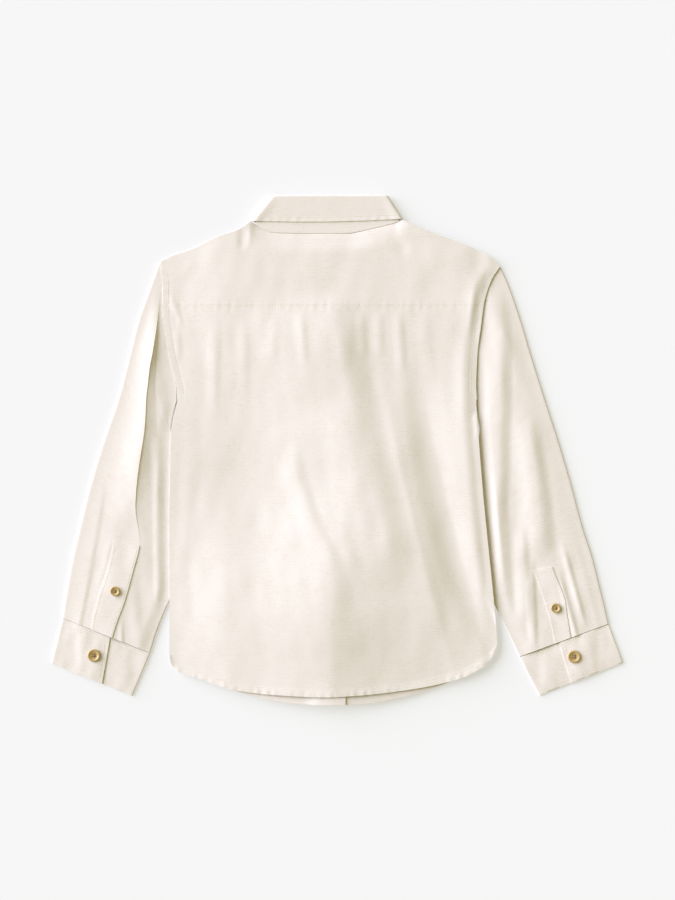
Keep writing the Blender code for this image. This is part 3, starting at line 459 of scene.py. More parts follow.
@dataclass(frozen=True)
class Cloth:
    """The sizes of the cotton and of its layers."""

    wall: float = 1.1
    gap: float = 0.3
    shell: float = 0.8
    cuff_wall: float = 0.95
    cuff_gap: float = 0.2
    pitch: float = 2.2

    @property
    def layer(self) -> float:
        """The height from one layer's underside to the next one's."""
        return self.wall + self.gap


COTTON = Cloth()


class Value:
    """A number on a shader's wire, with the arithmetic that the finishes use."""

    def __init__(self, shader: "Shader", socket: bpy.types.NodeSocket) -> None:
        """Wraps a socket."""
        self.shader = shader
        self.socket = socket

    def math(self, operation: str, *others: Union["Value", float]) -> "Value":
        """Adds one Math node.

        Args:
            operation: The node's operation.
            others: Its further operands.

        Returns:
            The result.
        """
        sockets = dict(enumerate((self,) + others))
        node = self.shader.node("ShaderNodeMath", {"operation": operation}, sockets)
        return Value(self.shader, node.outputs[0])

    def __add__(self, other: Union["Value", float]) -> "Value":
        """Adds."""
        return self.math("ADD", other)

    def __radd__(self, other: float) -> "Value":
        """Adds to a number."""
        return self.math("ADD", other)

    def __sub__(self, other: Union["Value", float]) -> "Value":
        """Subtracts."""
        return self.math("SUBTRACT", other)

    def __rsub__(self, other: float) -> "Value":
        """Subtracts from a number."""
        return (self * -1.0) + other

    def __mul__(self, other: Union["Value", float]) -> "Value":
        """Multiplies."""
        return self.math("MULTIPLY", other)

    def __rmul__(self, other: float) -> "Value":
        """Multiplies a number."""
        return self.math("MULTIPLY", other)

    def sine(self) -> "Value":
        """Gives the sine."""
        return self.math("SINE")

    def wave(self) -> "Value":
        """Gives the sine, moved to lie from 0 to 1."""
        return self.sine() * 0.5 + 0.5

    def step(self, low: float, high: float) -> "Value":
        """Goes smoothly from 0 at low to 1 at high.

        Args:
            low: Where it leaves 0.
            high: Where it reaches 1.

        Returns:
            The smooth step.
        """
        settings = {"interpolation_type": "SMOOTHSTEP"}
        sockets = {"Value": self, "From Min": low, "From Max": high}
        node = self.shader.node("ShaderNodeMapRange", settings, sockets)
        return Value(self.shader, node.outputs["Result"])


class Shader:
    """A material's node tree, with one method for every node."""

    def __init__(self, name: str) -> None:
        """Makes the material.

        Args:
            name: The material's name.
        """
        self.material = bpy.data.materials.new(name)
        self.material.use_nodes = True
        self.tree = self.material.node_tree
        self.surface = self.tree.nodes["Principled BSDF"]

    def node(self, kind: str, settings: dict, sockets: dict) -> bpy.types.Node:
        """Adds a node.

        Args:
            kind: The node's type.
            settings: Its own settings, which are set first.
            sockets: What goes into its sockets, by name or number: a value or a link.

        Returns:
            The node.
        """
        made = self.tree.nodes.new(kind)
        for name, value in settings.items():
            setattr(made, name, value)
        for name, value in sockets.items():
            self.feed(made.inputs[name], value)
        return made

    def feed(self, socket: bpy.types.NodeSocket, value: object) -> None:
        """Puts a value or a link into a socket.

        Args:
            socket: The socket to fill.
            value: A Value, another socket or a plain value.
        """
        if isinstance(value, Value):
            self.tree.links.new(value.socket, socket)
        elif isinstance(value, bpy.types.NodeSocket):
            self.tree.links.new(value, socket)
        else:
            socket.default_value = value

    def finish(self, sockets: dict) -> bpy.types.Material:
        """Fills the surface's sockets.

        Args:
            sockets: What goes into them, by name.

        Returns:
            The material.
        """
        for name, value in sockets.items():
            self.feed(self.surface.inputs[name], value)
        return self.material

    def grain(self) -> tuple[bpy.types.NodeSocket, Value, Value]:
        """Reads the cloth's own directions, in millimetres.

        Returns:
            The place along the threads, and its two parts.
        """
        settings = {"attribute_type": "GEOMETRY", "attribute_name": "grain"}
        place = self.node("ShaderNodeAttribute", settings, {}).outputs["Vector"]
        parts = self.node("ShaderNodeSeparateXYZ", {}, {0: place})
        return place, Value(self, parts.outputs[0]), Value(self, parts.outputs[1])

    def noise(self, place: bpy.types.NodeSocket, per_mm: Spot, detail: float) -> Value:
        """Adds noise that is drawn out along the threads.

        Args:
            place: The place along the threads.
            per_mm: How fine it is across and along.
            detail: How many finer layers it has.

        Returns:
            The noise, from 0 to 1.
        """
        settings = {"operation": "MULTIPLY"}
        scale = (per_mm.x, per_mm.y, max(per_mm))
        scaled = self.node("ShaderNodeVectorMath", settings, {0: place, 1: scale}).outputs[0]
        sockets = {"Vector": scaled, "Scale": 1.0, "Detail": detail}
        made = self.node("ShaderNodeTexNoise", {"noise_dimensions": "3D"}, sockets)
        return Value(self, made.outputs[0])

    def blend(self, factor: Value, low: tuple, high: tuple) -> bpy.types.NodeSocket:
        """Mixes two colours.

        Args:
            factor: 0 for the first colour, 1 for the second.
            low: The first colour.
            high: The second colour.

        Returns:
            The mixed colour.
        """
        sockets = {0: factor, 6: (*low, 1.0), 7: (*high, 1.0)}
        settings = {"data_type": "RGBA", "blend_type": "MIX"}
        return self.node("ShaderNodeMix", settings, sockets).outputs[2]

    def bump(self, height: Value) -> bpy.types.NodeSocket:
        """Turns a height in millimetres into a normal."""
        sockets = {"Height": height * MM, "Strength": 1.0, "Distance": 1.0}
        return self.node("ShaderNodeBump", {}, sockets).outputs[0]


@dataclass(frozen=True)
class CottonFinish:
    """Soft cream cotton, woven with a fine check of slightly darker threads."""

    light: tuple = (0.836, 0.775, 0.717)
    dark: tuple = (0.734, 0.652, 0.558)
    check: float = 2.4
    thread: float = 0.6
    roughness: float = 0.92

    def material(self, name: str) -> bpy.types.Material:
        """Makes the material.

        Args:
            name: Its name.

        Returns:
            The material.
        """
        shader = Shader(name)
        place, across, along = shader.grain()
        patches = shader.noise(place, Spot(0.045, 0.06), 2.0).step(0.38, 0.66)
        weft = (along * (2.0 * math.pi / self.check)).wave()
        warp = (across * (2.0 * math.pi / self.check)).wave()
        dashes = shader.noise(place, Spot(0.16, 1.1), 1.0).step(0.35, 0.75)
        slubs = shader.noise(place, Spot(1.0, 0.12), 1.0).step(0.4, 0.8)
        fuzz = shader.noise(place, Spot(2.6, 2.6), 3.0)
        cloud = shader.noise(place, Spot(0.02, 0.02), 2.0)
        seen = patches * 0.6 + 0.4
        shade = weft * dashes * seen * 0.66 + warp * slubs * seen * 0.40
        shade = shade + cloud * 0.12 + fuzz * 0.10
        fine = (across * (math.pi / self.thread)).sine() * (along * (math.pi / self.thread)).sine()
        height = fine * 0.012 + weft * dashes * 0.022 + warp * slubs * 0.012 + fuzz * 0.05
        return shader.finish(
            {
                "Base Color": shader.blend(shade, self.light, self.dark),
                "Roughness": self.roughness,
                "Specular IOR Level": 0.18,
                "Sheen Weight": 0.12,
                "Sheen Roughness": 0.5,
                "Normal": shader.bump(height),
            }
        )


@dataclass(frozen=True)
class HornFinish:
    """Marbled horn-coloured resin, polished."""

    light: tuple = (0.560, 0.400, 0.165)
    dark: tuple = (0.190, 0.105, 0.035)
    roughness: float = 0.28

    def material(self, name: str) -> bpy.types.Material:
        """Makes the material.

        Args:
            name: Its name.

        Returns:
            The material.
        """
        shader = Shader(name)
        place, across, along = shader.grain()
        cloud = shader.noise(place, Spot(0.30, 0.22), 3.0)
        vein = ((across + cloud * 9.0) * 0.9).wave()
        shade = cloud.step(0.42, 0.72) * 0.55 + vein * 0.25
        rough = cloud * 0.14 + self.roughness
        return shader.finish(
            {
                "Base Color": shader.blend(shade, self.light, self.dark),
                "Roughness": rough,
                "Coat Weight": 0.25,
                "Coat Roughness": 0.18,
                "Normal": shader.bump(cloud * 0.02),
            }
        )


@dataclass(frozen=True)
class ThreadFinish:
    """Twisted cream sewing thread."""

    light: tuple = (0.880, 0.815, 0.700)
    dark: tuple = (0.700, 0.610, 0.460)
    roughness: float = 0.7

    def material(self, name: str) -> bpy.types.Material:
        """Makes the material.

        Args:
            name: Its name.

        Returns:
            The material.
        """
        shader = Shader(name)
        place, across, along = shader.grain()
        twist = ((across + along) * 9.0).wave()
        tone = shader.noise(place, Spot(0.4, 0.4), 1.0)
        return shader.finish(
            {
                "Base Color": shader.blend(twist * 0.3 + tone * 0.3, self.light, self.dark),
                "Roughness": self.roughness,
                "Normal": shader.bump(twist * 0.02),
            }
        )


@dataclass(frozen=True)
class FloorFinish:
    """A plain white table, lit a little from below, which softens the shadows on it."""

    colour: tuple = (0.45, 0.45, 0.45)
    glow: tuple = (1.0, 1.0, 1.0)
    glow_strength: float = 0.45

    def material(self, name: str) -> bpy.types.Material:
        """Makes the material.

        Args:
            name: Its name.

        Returns:
            The material.
        """
        return Shader(name).finish(
            {
                "Base Color": (*self.colour, 1.0),
                "Roughness": 0.9,
                "Specular IOR Level": 0.0,
                "Emission Color": (*self.glow, 1.0),
                "Emission Strength": self.glow_strength,
            }
        )


@dataclass
class Finishes:
    """The finishes of the shirt, each made once."""

    cotton: bpy.types.Material = field(default_factory=lambda: CottonFinish().material("cotton"))
    horn: bpy.types.Material = field(default_factory=lambda: HornFinish().material("horn"))
    thread: bpy.types.Material = field(default_factory=lambda: ThreadFinish().material("thread"))
    button_thread: bpy.types.Material = field(
        default_factory=lambda: ThreadFinish(BROWN, DARK_BROWN).material("button_thread")
    )


def link_mesh(
    name: str, points: np.ndarray, faces: list, grain: np.ndarray, finish: bpy.types.Material
) -> bpy.types.Object:
    """Makes an object of the shirt.

    Args:
        name: The piece's name.
        points: Its points, in millimetres.
        faces: Its faces, as lists of point numbers.
        grain: Each point's place along the threads, in millimetres.
        finish: Its material.

    Returns:
        The object, riding with the shirt.
    """
    mesh = bpy.data.meshes.new(name)
    placed = (points - (0.0, MIDDLE_Y, 0.0)) * MM
    mesh.from_pydata(placed.tolist(), [], faces)
    mesh.shade_smooth()
    mesh.materials.append(finish)
    threads = mesh.attributes.new("grain", "FLOAT_VECTOR", "POINT")
    threads.data.foreach_set("vector", np.ascontiguousarray(grain, np.float32).ravel())
    mesh.set_sharp_from_angle(angle=math.radians(SHARP_ANGLE))
    made = bpy.data.objects.new(name, mesh)
    bpy.context.scene.collection.objects.link(made)
    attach(made, "root")
    return made


class Shell:
    """A closed wall of cloth between an upper and a lower skin, with rounded rims.

    RIM gives the turns of a rim's rows of points in degrees, and BULGE how far the rim stands
    out, as a share of half the wall.
    """

    RIM = (55.0, 0.0, -55.0)
    BULGE = 0.3

    def __init__(self, high: np.ndarray, low: np.ndarray, ring: bool = False) -> None:
        """Takes the two skins."""
        self.high, self.low, self.ring = high, low, ring
        self.rows, self.columns = high.shape[:2]

    def quads(self) -> np.ndarray:
        """Numbers the corners of one skin's faces.

        Returns:
            Four point numbers for each face.
        """
        spans = self.columns if self.ring else self.columns - 1
        i, j = np.meshgrid(np.arange(self.rows - 1), np.arange(spans), indexing="ij")
        k = (j + 1) % self.columns
        row, below = i * self.columns, (i + 1) * self.columns
        return np.stack([row + j, row + k, below + k, below + j], axis=-1).reshape(-1, 4)

    def loops(self) -> list[tuple[np.ndarray, np.ndarray]]:
        """Numbers the points round each rim.

        Returns:
            For each rim, its points and the point inside each of them.
        """
        r, c = self.rows, self.columns
        if self.ring:
            j = np.arange(c)
            return [(j, j + c), ((r - 1) * c + j[::-1], (r - 2) * c + j[::-1])]
        top = [(0, j) for j in range(c)]
        right = [(i, c - 1) for i in range(1, r)]
        bottom = [(r - 1, j) for j in range(c - 2, -1, -1)]
        left = [(i, 0) for i in range(r - 2, 0, -1)]
        edge = np.array(top + right + bottom + left)
        within = np.stack([edge[:, 0].clip(1, r - 2), edge[:, 1].clip(1, c - 2)], axis=1)
        return [(edge[:, 0] * c + edge[:, 1], within[:, 0] * c + within[:, 1])]

    def build(
        self, name: str, grain: np.ndarray, finish: bpy.types.Material
    ) -> bpy.types.Object:
        """Makes the object.

        Args:
            name: The piece's name.
            grain: The place along the threads of each point of a skin.
            finish: Its material.

        Returns:
            The object.
        """
        high, low = self.high.reshape(-1, 3), self.low.reshape(-1, 3)
        threads = grain.reshape(-1, 3)
        count = len(high)
        quads = self.quads()
        faces = [quads, quads[:, ::-1] + count]
        points, thread_rows = [high, low], [threads, threads]
        middle, half = 0.5 * (high + low), 0.5 * (high - low)
        total = 2 * count
        for edge, within in self.loops():
            out = middle[edge] - middle[within]
            thick = np.maximum(np.linalg.norm(half[edge], axis=1, keepdims=True), 1e-6)
            up = half[edge] / thick
            out = out - (out * up).sum(axis=1, keepdims=True) * up
            out = out / np.maximum(np.linalg.norm(out, axis=1, keepdims=True), 1e-9)
            rings = [edge]
            for angle in self.RIM:
                turn = math.radians(angle)
                reach = out * thick * math.cos(turn) * self.BULGE
                points.append(middle[edge] + half[edge] * math.sin(turn) + reach)
                thread_rows.append(threads[edge])
                rings.append(total + np.arange(len(edge)))
                total += len(edge)
            rings.append(edge + count)
            for a, b in zip(rings[:-1], rings[1:]):
                strip = np.stack([np.roll(a, -1), a, b, np.roll(b, -1)], axis=1)
                faces.append(strip)
        points, faces = np.concatenate(points), np.concatenate(faces)
        a, b, c, d = (points[faces[:, k]] for k in range(4))
        volume = (a * np.cross(b, c)).sum() + (a * np.cross(c, d)).sum()
        if volume < 0.0:
            faces = faces[:, ::-1]
        return link_mesh(name, points, faces.tolist(), np.concatenate(thread_rows), finish)


def cut_area(grid: np.ndarray) -> float:
    """Gives the area of the cloth on a grid of points, which is also that of its flat cut."""
    a, b = grid[1:, 1:] - grid[:-1, :-1], grid[1:, :-1] - grid[:-1, 1:]
    return float(np.linalg.norm(np.cross(a, b), axis=-1).sum() * 0.5 * MM * MM)


def round_fold(
    at: Spot, out: Spot, centre: float, radius: float, steps: int, way: float
) -> list[tuple[float, float, float, float]]:
    """Gives points round a fold, between the two walls that it joins.

    Args:
        at: The middle of the turn.
        out: The way out of the fold.
        centre: The height of its middle.
        radius: The turn's radius.
        steps: How many steps it takes.
        way: 1 from the upper wall down, -1 from the lower wall up.

    Returns:
        X, Y and Z of each point, and how far out it lies.
    """
    made = []
    for i in range(1, steps):
        angle = math.pi * (0.5 - i / steps) * way
        reach, z = radius * math.cos(angle), centre + radius * math.sin(angle)
        made.append((at.x + out.x * reach, at.y + out.y * reach, z, reach))
    return made


@dataclass
class Torso:
    """The body of the shirt: back panel, yoke and two fronts, over what lies under them."""

    FRONTS = ["front_left_cloth", "front_right_cloth"]

    finishes: Finishes
    underarm_y: float = 46.5
    yoke_seam_y: float = 139.5
    seam_half: float = 0.06
    most_hollow: float = 3.3
    front_overlap: float = 0.04
    roll_width: float = 15.0
    crown_height: float = 1.2
    edge_crown: float = 0.35
    edge_width: float = 4.0
    hem_share: float = 0.45
    hem_ramp: float = 25.0
    back_hem_share: float = 0.68
    back_hem_ramp: float = 84.0
    back_crown_height: float = 1.4
    back_roll_width: float = 60.0
    neck_ramp: float = 20.0
    neck_slack: float = 3.0
    curl: float = 1.6
    curl_share: float = 0.6
    curl_ramp: float = 44.0
    tuck_lift_height: float = 3.0
    tuck_margin: float = 3.0
    tuck_ramp: float = 12.5
    back_tuck_ramp: float = 90.0
    seam_lift: float = 1.5
    tuck_start_y: float = 47.0
    tuck_full_y: float = 24.0
    overlap_near: float = 14.5
    overlap_ramp: float = 12.5
    ridge_far: float = 78.0
    ridge_buttons_low_y: float = -214.0
    ridge_buttons_high_y: float = 160.0
    ridge_ramp: float = 24.0
    ridge_share: float = 0.3
    layer_clear: float = 0.15
    loft: float = 0.25
    loft_start_y: float = 90.0
    loft_full_y: float = 226.0
    collar_room: float = 4.0
    collar_ramp: float = 13.0
    collar_start_y: float = 122.0
    collar_full_y: float = 136.0
    button_size: float = 9.6
    button_thick: float = 1.5
    button_top_y: float = 128.0
    button_pitch: float = 62.0
    button_count: int = 6
    button_room: float = 11.0
    button_ramp: float = 13.0
    hem_turn: float = 6.5
    hem_rise: float = 0.30
    hem_groove: float = 0.28
    hem_pucker: float = 2.2
    yoke_row: float = 2.2
    yoke_rise: float = 0.05
    yoke_groove: float = 0.08
    yoke_pucker: float = 0.9
    neck_drop: float = 0.5
    stitch_inset: float = 5.5
    armhole_groove: float = 0.25
    armhole_pucker: float = 0.7
    middle_x: float = -9.5
    neck_reach: tuple = (92.0, 150.0)
    loft_reach: tuple = (70.0, 160.0)
    bridge_power: float = 1.5
    bridge_fade: tuple = (-30.0, 118.0)
    seam_reach: float = 26.0
    ripples: Ripples = Ripples(height=0.035)
    pucker: Pucker = Pucker(height=0.10)

    def left_edge(self, y: Number) -> np.ndarray:
        """Gives X of the left edge: armhole above the underarm, side seam below it."""
        return np.where(np.asarray(y) > self.underarm_y, x_on(ARMHOLE_LEFT, y), x_on(SIDE_LEFT, y))

    def right_edge(self, y: Number) -> np.ndarray:
        """Gives X of the right edge."""
        above = np.asarray(y) > self.underarm_y
        return np.where(above, x_on(ARMHOLE_RIGHT, y), x_on(SIDE_RIGHT, y))

    def centre_x(self, y: Number) -> np.ndarray:
        """Gives X of the centre front."""
        return 0.5 * (self.left_edge(y) + self.right_edge(y))

    def armhole_lines(self, low: float, high: float, count: int) -> list[np.ndarray]:
        """Gives the lines of the stitches beside both armholes.

        Args:
            low: Y of their lower ends.
            high: Y of their upper ends.
            count: How many points each has.

        Returns:
            The left and the right line.
        """
        y, inset = np.linspace(low, high, count), self.stitch_inset
        edges = self.left_edge(y) + inset, self.right_edge(y) - inset
        return [np.stack([x, y], axis=1) for x in edges]

    def button_spots(self) -> list[Spot]:
        """Gives where the front buttons lie, from the top down."""
        rows = [self.button_top_y - self.button_pitch * i for i in range(self.button_count)]
        return [Spot(float(self.centre_x(y)), y) for y in rows]

    def tuck_lift(self, x: Number, y: Number) -> np.ndarray:
        """Gives how far the sleeves tucked under the sides raise the fronts.

        Args:
            x: Where, across.
            y: Where, towards the collar.

        Returns:
            The height at each place.
        """
        lift = np.zeros(np.broadcast(x, y).shape)
        for sections, sign in ((SLEEVE_LEFT, 1.0), (SLEEVE_RIGHT, -1.0)):
            inner = through([s.inner_y for s in sections], [s.inner_x for s in sections], y)
            far = self.tuck_margin + self.tuck_ramp
            lift = lift + 1.0 - ease(self.tuck_margin, far, (x - inner) * sign)
        fall = 1.0 - ease(self.tuck_full_y, self.tuck_start_y, y)
        return self.tuck_lift_height * lift * fall

    def back_tuck_lift(self, x: Number, y: Number) -> np.ndarray:
        """Gives how far the tucked sleeves raise the back, which bridges them more broadly.

        Args:
            x: Where, across.
            y: Where, towards the collar.

        Returns:
            The height at each place.
        """
        left, right = x - self.left_edge(y), self.right_edge(y) - x
        lift = np.clip(1.0 - left / self.back_tuck_ramp, 0.0, 1.0) ** self.bridge_power
        lift = lift + np.clip(1.0 - right / self.back_tuck_ramp, 0.0, 1.0) ** self.bridge_power
        near_left, near_right = (ease(0.0, self.seam_reach, side) for side in (left, right))
        seam = self.seam_lift * (1.2 - near_right - 0.2 * near_left)
        along = 1.0 - ease(*self.bridge_fade, y)
        return self.tuck_lift_height * lift * along + seam * (1.0 - along)

    def collar_lift(self, x: Number, y: Number) -> np.ndarray:
        """Gives how far the collar points under the fronts raise the body.

        Args:
            x: Where, across.
            y: Where, towards the collar.

        Returns:
            The height at each place.
        """
        left = x_on((Collar.EDGE_LEFT, Collar.POINT_LEFT), y)
        right = x_on((Collar.EDGE_RIGHT, Collar.POINT_RIGHT), y)
        near, far = self.collar_room, self.collar_room + self.collar_ramp
        across = ease(-far, -near, x - left) * (1.0 - ease(near, far, x - right))
        return COTTON.layer * across * ease(self.collar_start_y, self.collar_full_y, y)

    def button_lift(self, x: Number, y: Number) -> np.ndarray:
        """Gives how far the front buttons raise the body.

        Args:
            x: Where, across.
            y: Where, towards the collar.

        Returns:
            The height at each place.
        """
        lift = np.zeros(np.broadcast(x, y).shape)
        for spot in self.button_spots():
            away = np.hypot(x - spot.x, y - spot.y)
            lift = lift + 1.0 - ease(self.button_room, self.button_room + self.button_ramp, away)
        return (self.button_thick + COTTON.gap) * lift

    def overlap_lift(self, x: Number, y: Number) -> np.ndarray:
        """Gives how far the left front is raised where it lies on the right one."""
        start = -self.overlap_near - self.overlap_ramp
        return COTTON.layer * ease(start, -self.overlap_near, x - self.centre_x(y))

    def centre_ridge(self, x: Number, y: Number) -> np.ndarray:
        """Gives the back's height over the buttons and the lap along the centre front.

        Args:
            x: Where, across.
            y: Where, towards the collar.

        Returns:
            The height at each place.
        """
        near = 1.0 - ease(self.overlap_near, self.ridge_far, np.abs(x - self.centre_x(y)))
        low, high = self.ridge_buttons_low_y, self.ridge_buttons_high_y
        along = ease(low, low + self.ridge_ramp, y) * (1.0 - ease(high - self.ridge_ramp, high, y))
        return (COTTON.layer + (self.button_thick + COTTON.gap) * along) * near

    def neck_lift(self, x: Number, y: Number) -> np.ndarray:
        """Gives how far the collar points raise the back, broad enough to leave no print."""
        across = 1.0 - ease(*self.neck_reach, np.abs(x - self.middle_x))
        return COTTON.layer * across * ease(40.0, self.collar_start_y, y)

    def lofted(self, x: Number, y: Number, z: Number) -> np.ndarray:
        """Raises heights towards the neck, where the collar's layers fill the shirt out.

        Args:
            x: Where, across.
            y: Where, towards the collar.
            z: The height.

        Returns:
            The raised height.
        """
        along = ease(self.loft_start_y, self.loft_full_y, y)
        across = 1.0 - ease(*self.loft_reach, np.abs(x - self.middle_x))
        return z * (1.0 + self.loft * along * across)

    def crown(self, x: Number, y: Number) -> np.ndarray:
        """Gives the height that the broad folds share with the fronts, rolled off at the edges.

        Args:
            x: Where, across.
            y: Where, towards the collar.

        Returns:
            The height at each place.
        """
        side = np.minimum(x - self.left_edge(y), self.right_edge(y) - x)
        hem = y - y_on(HEM, x)
        roll = ease(0.0, self.roll_width, side)
        near_hem = self.hem_share + (1.0 - self.hem_share) * ease(0.0, self.hem_ramp, hem)
        own = self.crown_height + fold_height(BROAD_FOLDS, x, y)
        return self.edge_crown * ease(0.0, self.edge_width, side) + roll * near_hem * own

    def back_crown(self, x: Number, y: Number) -> np.ndarray:
        """Gives the back's own height, with all its folds, sunk at its edges, neck and hem.

        Args:
            x: Where, across.
            y: Where, towards the collar.

        Returns:
            The height at each place.
        """
        left, right = x - self.left_edge(y), self.right_edge(y) - x
        roll = ease(-14.0, self.back_roll_width, left) * ease(-1.0, self.roll_width, right)
        share, ramp = self.back_hem_share, self.back_hem_ramp
        near_hem = share + (1.0 - share) * ease(0.0, ramp, y - y_on(HEM, x))
        middle = ease(NECK_LEFT.x - 6.0, NECK_LEFT.x + 8.0, x)
        middle = middle * (1.0 - ease(NECK_RIGHT.x - 8.0, NECK_RIGHT.x + 6.0, x))
        to_neck = np.maximum(y_on(BACK_NECK, x) - y, 0.0)
        near_neck = 1.0 - middle * (1.0 - ease(0.0, self.neck_ramp, to_neck))
        own = self.back_crown_height + fold_height(BACK_FOLDS + YOKE_FOLDS, x, y)
        own = own + fold_height(BACK_CRESTS, x, y, True)
        own = own + self.ridge_share * self.centre_ridge(x, y)
        return roll * near_hem * near_neck * own

    def hem_curl(self, x: Number, y: Number) -> np.ndarray:
        """Gives how far the fronts' hem curls up off the table."""
        wave = self.curl + self.curl_share * fold_height(BACK_CRESTS, x, y, True)
        return wave * (1.0 - ease(0.0, self.curl_ramp, y - y_on(FRONT_HEM, x)))

    def front_under(self, x: Number, y: Number, side: Side) -> np.ndarray:
        """Gives the height of a front's underside.

        Args:
            x: Where, across.
            y: Where, towards the collar.
            side: Which front.

        Returns:
            The height at each place.
        """
        rise = np.maximum(self.crown(x, y) - self.most_hollow, 0.0)
        over = self.overlap_lift(x, y) if side is Side.LEFT else 0.0
        lifts = self.tuck_lift(x, y) + self.collar_lift(x, y) + self.button_lift(x, y)
        return rise + lifts + over + self.hem_curl(x, y)

    def sewn_relief(self, x: Number, y: Number) -> np.ndarray:
        """Gives the relief that seams, turned hem and pressing leave on the back.

        Args:
            x: Where, across.
            y: Where, towards the collar.

        Returns:
            The height at each place.
        """
        hem = y - y_on(HEM, x)
        turned = self.hem_rise * (1.0 - ease(self.hem_turn, self.hem_turn + 1.6, hem))
        groove = -self.hem_groove * np.exp(-(((hem - self.hem_turn) / 0.9) ** 2))
        hem_waves = self.hem_pucker * self.pucker.at(x, hem)
        yoke = y - self.yoke_seam_y
        yoke_waves = self.yoke_pucker * self.pucker.at(x + 40.0, yoke)
        ridge = self.yoke_rise * ease(-0.3, 0.5, yoke) * (1.0 - ease(6.0, 11.0, yoke))
        stitched = -self.yoke_groove * np.exp(-(((yoke - self.yoke_row) / 0.8) ** 2))
        to_neck = y_on(BACK_NECK, x) - y
        left, right = NECK_LEFT.x, -NECK_RIGHT.x
        middle = ease(left, left + 6.0, x) * ease(right, right + 6.0, -x)
        neck = -self.neck_drop * middle * (1.0 - ease(0.0, 3.5, to_neck))
        side, low = np.minimum(x - self.left_edge(y), self.right_edge(y) - x), self.underarm_y
        armhole = self.armhole_pucker * self.pucker.at(y, side) * ease(low, low + 15.0, y)
        seam = -self.armhole_groove * np.exp(-(((side - self.stitch_inset) / 0.9) ** 2))
        seam = seam * ease(40.0, 60.0, y)
        pressed = self.ripples.at(x, y) * ease(0.0, 10.0, side)
        rows = turned + groove + hem_waves + yoke_waves + ridge + stitched + armhole + seam
        return rows + pressed + neck + fold_height(PINCHES, x, y)

    def back_under(self, x: Number, y: Number) -> np.ndarray:
        """Gives the height of the undersides of the back and the yoke.

        Args:
            x: Where, across.
            y: Where, towards the collar.

        Returns:
            The height at each place.
        """
        own = self.back_crown(x, y)
        lifts = self.back_tuck_lift(x, y) + self.neck_lift(x, y)
        wanted = COTTON.layer + lifts + own + self.sewn_relief(x, y) + COTTON.wall - COTTON.shell
        least = self.front_under(x, y, Side.LEFT) + COTTON.shell + self.layer_clear
        past_neck = self.neck_slack * ease(1.0, 14.0, y - y_on(FRONT_NECK, x))
        return np.maximum(wanted, least - past_neck)

    def columns(self) -> np.ndarray:
        """Gives the shares of the width that have a column of points."""
        tip_left, tip_right = ARMHOLE_LEFT[0].x, ARMHOLE_RIGHT[0].x
        width = tip_right - tip_left
        even = np.linspace(0.0, 1.0, round(width / COTTON.pitch) + 1)
        edges = np.array([0.0015, 0.004, 0.996, 0.9985])
        for neck in (NECK_LEFT, NECK_RIGHT):
            u = (neck.x - tip_left) / width
            even[np.argmin(np.abs(even - u))] = u
        return np.sort(np.concatenate([even, edges]))

    def lower_rows(self, u: np.ndarray, line: Sequence[Spot]) -> tuple[np.ndarray, np.ndarray]:
        """Gives places from the underarm down to a hem.

        Args:
            u: The shares of the width.
            line: The hem's line.

        Returns:
            X and Y of each place, a row at a time.
        """
        hem_x = HEM[0].x + u * (HEM[-1].x - HEM[0].x)
        rows = round((self.underarm_y - HEM[6].y) / COTTON.pitch)
        v = np.linspace(0.0, 1.0, rows + 1)[:, None]
        y = self.underarm_y + v * (y_on(line, hem_x) - self.underarm_y)
        return self.left_edge(y) * (1.0 - u) + self.right_edge(y) * u, y

    def upper_rows(
        self, u: np.ndarray, bottom_y: float, neck: Sequence[Spot]
    ) -> tuple[np.ndarray, np.ndarray]:
        """Gives places from a level line up to the shoulders and a neckline.

        Args:
            u: The shares of the width.
            bottom_y: The level line.
            neck: The neckline.

        Returns:
            X and Y of each place, from the top row down.
        """
        tip_left, tip_right = ARMHOLE_LEFT[0], ARMHOLE_RIGHT[0]
        top_x = tip_left.x + u * (tip_right.x - tip_left.x)
        middle = np.where(top_x > NECK_RIGHT.x, y_on(SHOULDER_RIGHT, top_x), y_on(neck, top_x))
        top_y = np.where(top_x < NECK_LEFT.x, y_on(SHOULDER_LEFT, top_x), middle)
        rows = round((tip_left.y - bottom_y) / COTTON.pitch)
        w = np.linspace(1.0, 0.0, rows + 1)[:, None]
        y = bottom_y + w * (top_y - bottom_y)
        low = self.underarm_y + 1e-6
        left = self.left_edge(np.maximum(bottom_y + w * (tip_left.y - bottom_y), low))
        right = self.right_edge(np.maximum(bottom_y + w * (tip_right.y - bottom_y), low))
        return left * (1.0 - u) + right * u, y

    def panel(
        self,
        name: str,
        node: str,
        x: np.ndarray,
        y: np.ndarray,
        under: np.ndarray,
        rests_on: list[str],
    ) -> bpy.types.Object:
        """Makes a panel on a grid of places.

        Args:
            name: The piece's name.
            node: The node that it replaces.
            x: Where each place is, across.
            y: Where it is, towards the collar.
            under: The height of its underside there.
            rests_on: The pieces that it lies on; not used.

        Returns:
            The object.
        """
        low = np.stack([x, y, self.lofted(x, y, under)], axis=-1)
        high = np.stack([x, y, self.lofted(x, y, under + COTTON.shell)], axis=-1)
        grain = np.stack([x, y, under], axis=-1)
        made = Shell(high, low).build(name, grain, self.finishes.cotton)
        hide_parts(node)
        cut_area(np.stack([x, y, 0.0 * x], axis=-1))
        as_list(rests_on)
        return made

